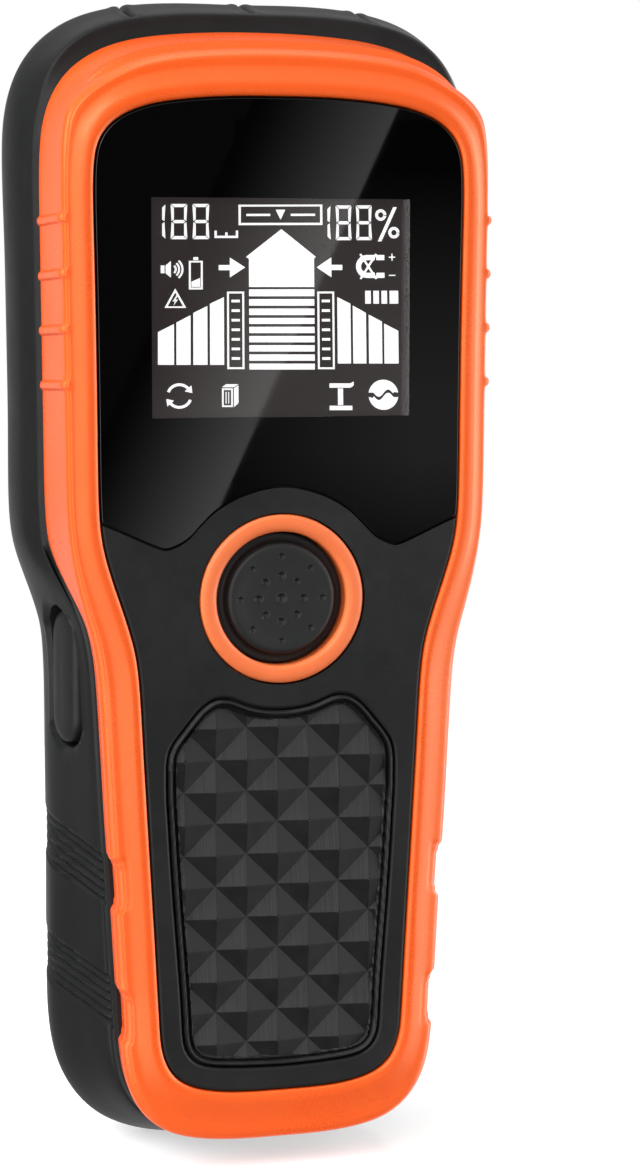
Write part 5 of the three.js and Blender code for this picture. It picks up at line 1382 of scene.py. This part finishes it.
def stage():
    scene = bpy.context.scene
    scene.view_settings.view_transform = "Standard"
    scene.view_settings.look = "None"
    scene.view_settings.exposure = 0.0
    scene.view_settings.gamma = 1.0
    w = bpy.data.worlds.new("world")
    scene.world = w
    w.use_nodes = True
    nt = w.node_tree
    nt.nodes.clear()
    out = nt.nodes.new("ShaderNodeOutputWorld")
    co = node(nt, "ShaderNodeTexCoord").outputs["Generated"]
    sep = node(nt, "ShaderNodeSeparateXYZ")
    nt.links.new(co, sep.inputs[0])
    X, Y, Z = sep.outputs["X"], sep.outputs["Y"], sep.outputs["Z"]
    soft = maths(nt, "ADD", maprange(nt, Y, -0.9, 0.6, 0.24, 0.3), maprange(nt, Z, -0.1, 0.9, 0.0, 0.26))
    # what shiny surfaces see: dark towards the camera, a white sweep behind, soft boxes to the left, right and above
    behind = maths(nt, "MULTIPLY", maprange(nt, Y, -0.05, 0.35, 0.0, 1.0), maprange(nt, X, -0.54, -0.44, 0.15, 0.62))
    behind = maths(nt, "MULTIPLY", behind, maths(nt, "MULTIPLY", maprange(nt, Z, 0.0, 0.3, 1.0, 0.65), maprange(nt, X, 0.4, 0.6, 1.0, 3.0)))
    ahead = maprange(nt, Y, -0.1, 0.2, 1.0, 0.0)
    level = maprange(nt, maths(nt, "ABSOLUTE", Z), 0.35, 0.6, 1.0, 0.15)
    left = maths(nt, "MULTIPLY", maprange(nt, X, -0.05, -0.25, 0.0, 2.2), level)
    right = maths(nt, "MULTIPLY", maprange(nt, X, 0.55, 0.75, 0.0, 3.0), level)
    sides = maths(nt, "MULTIPLY", ahead, maths(nt, "ADD", left, right))
    above = maprange(nt, Z, 0.42, 0.62, 0.0, 0.75)
    shine = maths(nt, "ADD", maths(nt, "MAXIMUM", maths(nt, "MAXIMUM", behind, sides), above), 0.03)
    path = node(nt, "ShaderNodeLightPath")
    eye, gloss = path.outputs["Is Camera Ray"], path.outputs["Is Glossy Ray"]
    level = maths(nt, "ADD", maths(nt, "MULTIPLY", soft, maths(nt, "SUBTRACT", 1.0, gloss)), maths(nt, "MULTIPLY", shine, gloss))
    level = maths(nt, "ADD", maths(nt, "MULTIPLY", level, maths(nt, "SUBTRACT", 1.0, eye)), maths(nt, "MULTIPLY", eye, 1.0))
    bg = node(nt, "ShaderNodeBackground")
    bg.inputs["Color"].default_value = (1, 1, 1, 1)
    nt.links.new(level, bg.inputs["Strength"])
    nt.links.new(bg.outputs[0], out.inputs[0])

    # floor
    me = bpy.data.meshes.new("floor")
    s, zf = 0.35, -0.08176
    me.from_pydata([(-s, -0.07, zf), (s, -0.07, zf), (s, s, zf), (-s, s, zf)], [], [(0, 1, 2, 3)])
    floor = bpy.data.objects.new("floor", me)
    scene.collection.objects.link(floor)
    m, nt, out = tree("floor_white")
    df = node(nt, "ShaderNodeBsdfDiffuse")
    df.inputs["Color"].default_value = (0.86, 0.86, 0.86, 1)
    gl = node(nt, "ShaderNodeBsdfGlossy")
    gl.inputs["Roughness"].default_value = 0.06
    gl.inputs["Color"].default_value = (1, 1, 1, 1)
    mx = node(nt, "ShaderNodeMixShader")
    mx.inputs[0].default_value = 0.2
    nt.links.new(df.outputs[0], mx.inputs[1])
    nt.links.new(gl.outputs[0], mx.inputs[2])
    em = node(nt, "ShaderNodeEmission")
    nt.links.new(maths(nt, "MULTIPLY", node(nt, "ShaderNodeLightPath").outputs["Is Camera Ray"], 0.56), em.inputs["Strength"])
    ad = node(nt, "ShaderNodeAddShader")
    nt.links.new(mx.outputs[0], ad.inputs[0])
    nt.links.new(em.outputs[0], ad.inputs[1])
    nt.links.new(ad.outputs[0], out.inputs[0])
    paint(floor, m)

    # soft gradient card that the glossy window mirrors
    y = -700.0
    e0, e1 = bounce_point(400, 105, y), bounce_point(205, 540, y)
    along = (e1 - e0) / np.linalg.norm(e1 - e0)
    side = np.array([along[2], 0.0, -along[0]])
    if side[0] > 0:
        side = -side
    span = np.linalg.norm(e1 - e0)
    p0, p1 = e0 - along * 90, e1 + along * 60
    wdt = float(np.dot(bounce_point(130, 375, y) - bounce_point(280, 375, y), side))
    verts = np.array([p0, p1, p1 + side * wdt, p0 + side * wdt]) / 1000
    me = bpy.data.meshes.new("card")
    me.from_pydata([tuple(v) for v in verts], [], [(0, 1, 2, 3)])
    uv = me.uv_layers.new(name="u")
    for i, c in enumerate(((0, 0), (0, 1), (1, 1), (1, 0))):
        uv.data[i].uv = c
    card = bpy.data.objects.new("card", me)
    scene.collection.objects.link(card)
    m, nt, out = tree("card_glow")
    tc = node(nt, "ShaderNodeTexCoord").outputs["UV"]
    sp = node(nt, "ShaderNodeSeparateXYZ")
    nt.links.new(tc, sp.inputs[0])
    fall = maths(nt, "POWER", maths(nt, "SUBTRACT", 1.0, sp.outputs["X"]), 1.8)
    low = maprange(nt, sp.outputs["Y"], 0.15, 0.9, 0.95, 1.3)
    em = node(nt, "ShaderNodeEmission")
    nt.links.new(maths(nt, "MULTIPLY", fall, low), em.inputs["Strength"])
    nt.links.new(em.outputs[0], out.inputs[0])
    paint(card, m)

    # a fainter glow low on the right
    verts = np.array([bounce_point(px, py, y - 5) for px, py in ((235, 120), (235, 580), (560, 580), (560, 120))]) / 1000
    me = bpy.data.meshes.new("glow")
    me.from_pydata([tuple(v) for v in verts], [], [(0, 1, 2, 3)])
    uv = me.uv_layers.new(name="u")
    for i, c in enumerate(((0, 0), (0, 1), (1, 1), (1, 0))):
        uv.data[i].uv = c
    glow = bpy.data.objects.new("glow", me)
    scene.collection.objects.link(glow)
    m, nt, out = tree("glow_low")
    tc = node(nt, "ShaderNodeTexCoord").outputs["UV"]
    sp = node(nt, "ShaderNodeSeparateXYZ")
    nt.links.new(tc, sp.inputs[0])
    rise = maths(nt, "MULTIPLY", maprange(nt, sp.outputs["Y"], 0.1, 0.62, 0.0, 1.0), maprange(nt, sp.outputs["Y"], 0.72, 1.0, 1.0, 0.0))
    em = node(nt, "ShaderNodeEmission")
    nt.links.new(maths(nt, "MULTIPLY", rise, maprange(nt, sp.outputs["X"], 0.0, 0.55, 0.06, 0.34)), em.inputs["Strength"])
    nt.links.new(em.outputs[0], out.inputs[0])
    paint(glow, m)
    glow.visible_camera = glow.visible_diffuse = glow.visible_shadow = glow.visible_transmission = False
    card.visible_camera = card.visible_diffuse = card.visible_shadow = card.visible_transmission = False
    floor.visible_glossy = False

    area("key", (-0.55, -0.8, 0.7), (0, 0, 0.02), 0.5, 0.7, 4.6)
    left = area("left", (-0.34, -0.1, 0.17), (-0.03, 0, 0.05), 0.12, 0.24, 1.25)
    left.visible_glossy = False
    area("right", (0.75, -0.25, 0.2), (0, 0, 0), 0.3, 0.9, 2.6)
    area("top", (0.05, -0.15, 0.8), (0, 0, 0), 0.6, 0.35, 0.9)
    low = area("low", (-0.1, -1.2, -0.02), (0, 0, -0.05), 0.6, 0.4, 1.8)
    low.visible_glossy = False
    sheen = area("sheen", (0.25, -0.36, -0.05), (0.0, 0, -0.02), 0.14, 0.22, 0.16)
    sheen.visible_diffuse = False


# ------------------------------------------------------------------ build
for step in (bumper_piece, rear_piece, front_piece, window_piece, lcd_piece, pad_piece, ring_piece, cap_piece, side_piece, door_piece,
             screw_pieces, battery_piece, label_piece, inside_finishes, camera, stage):
    step()

bpy.context.view_layer.update()
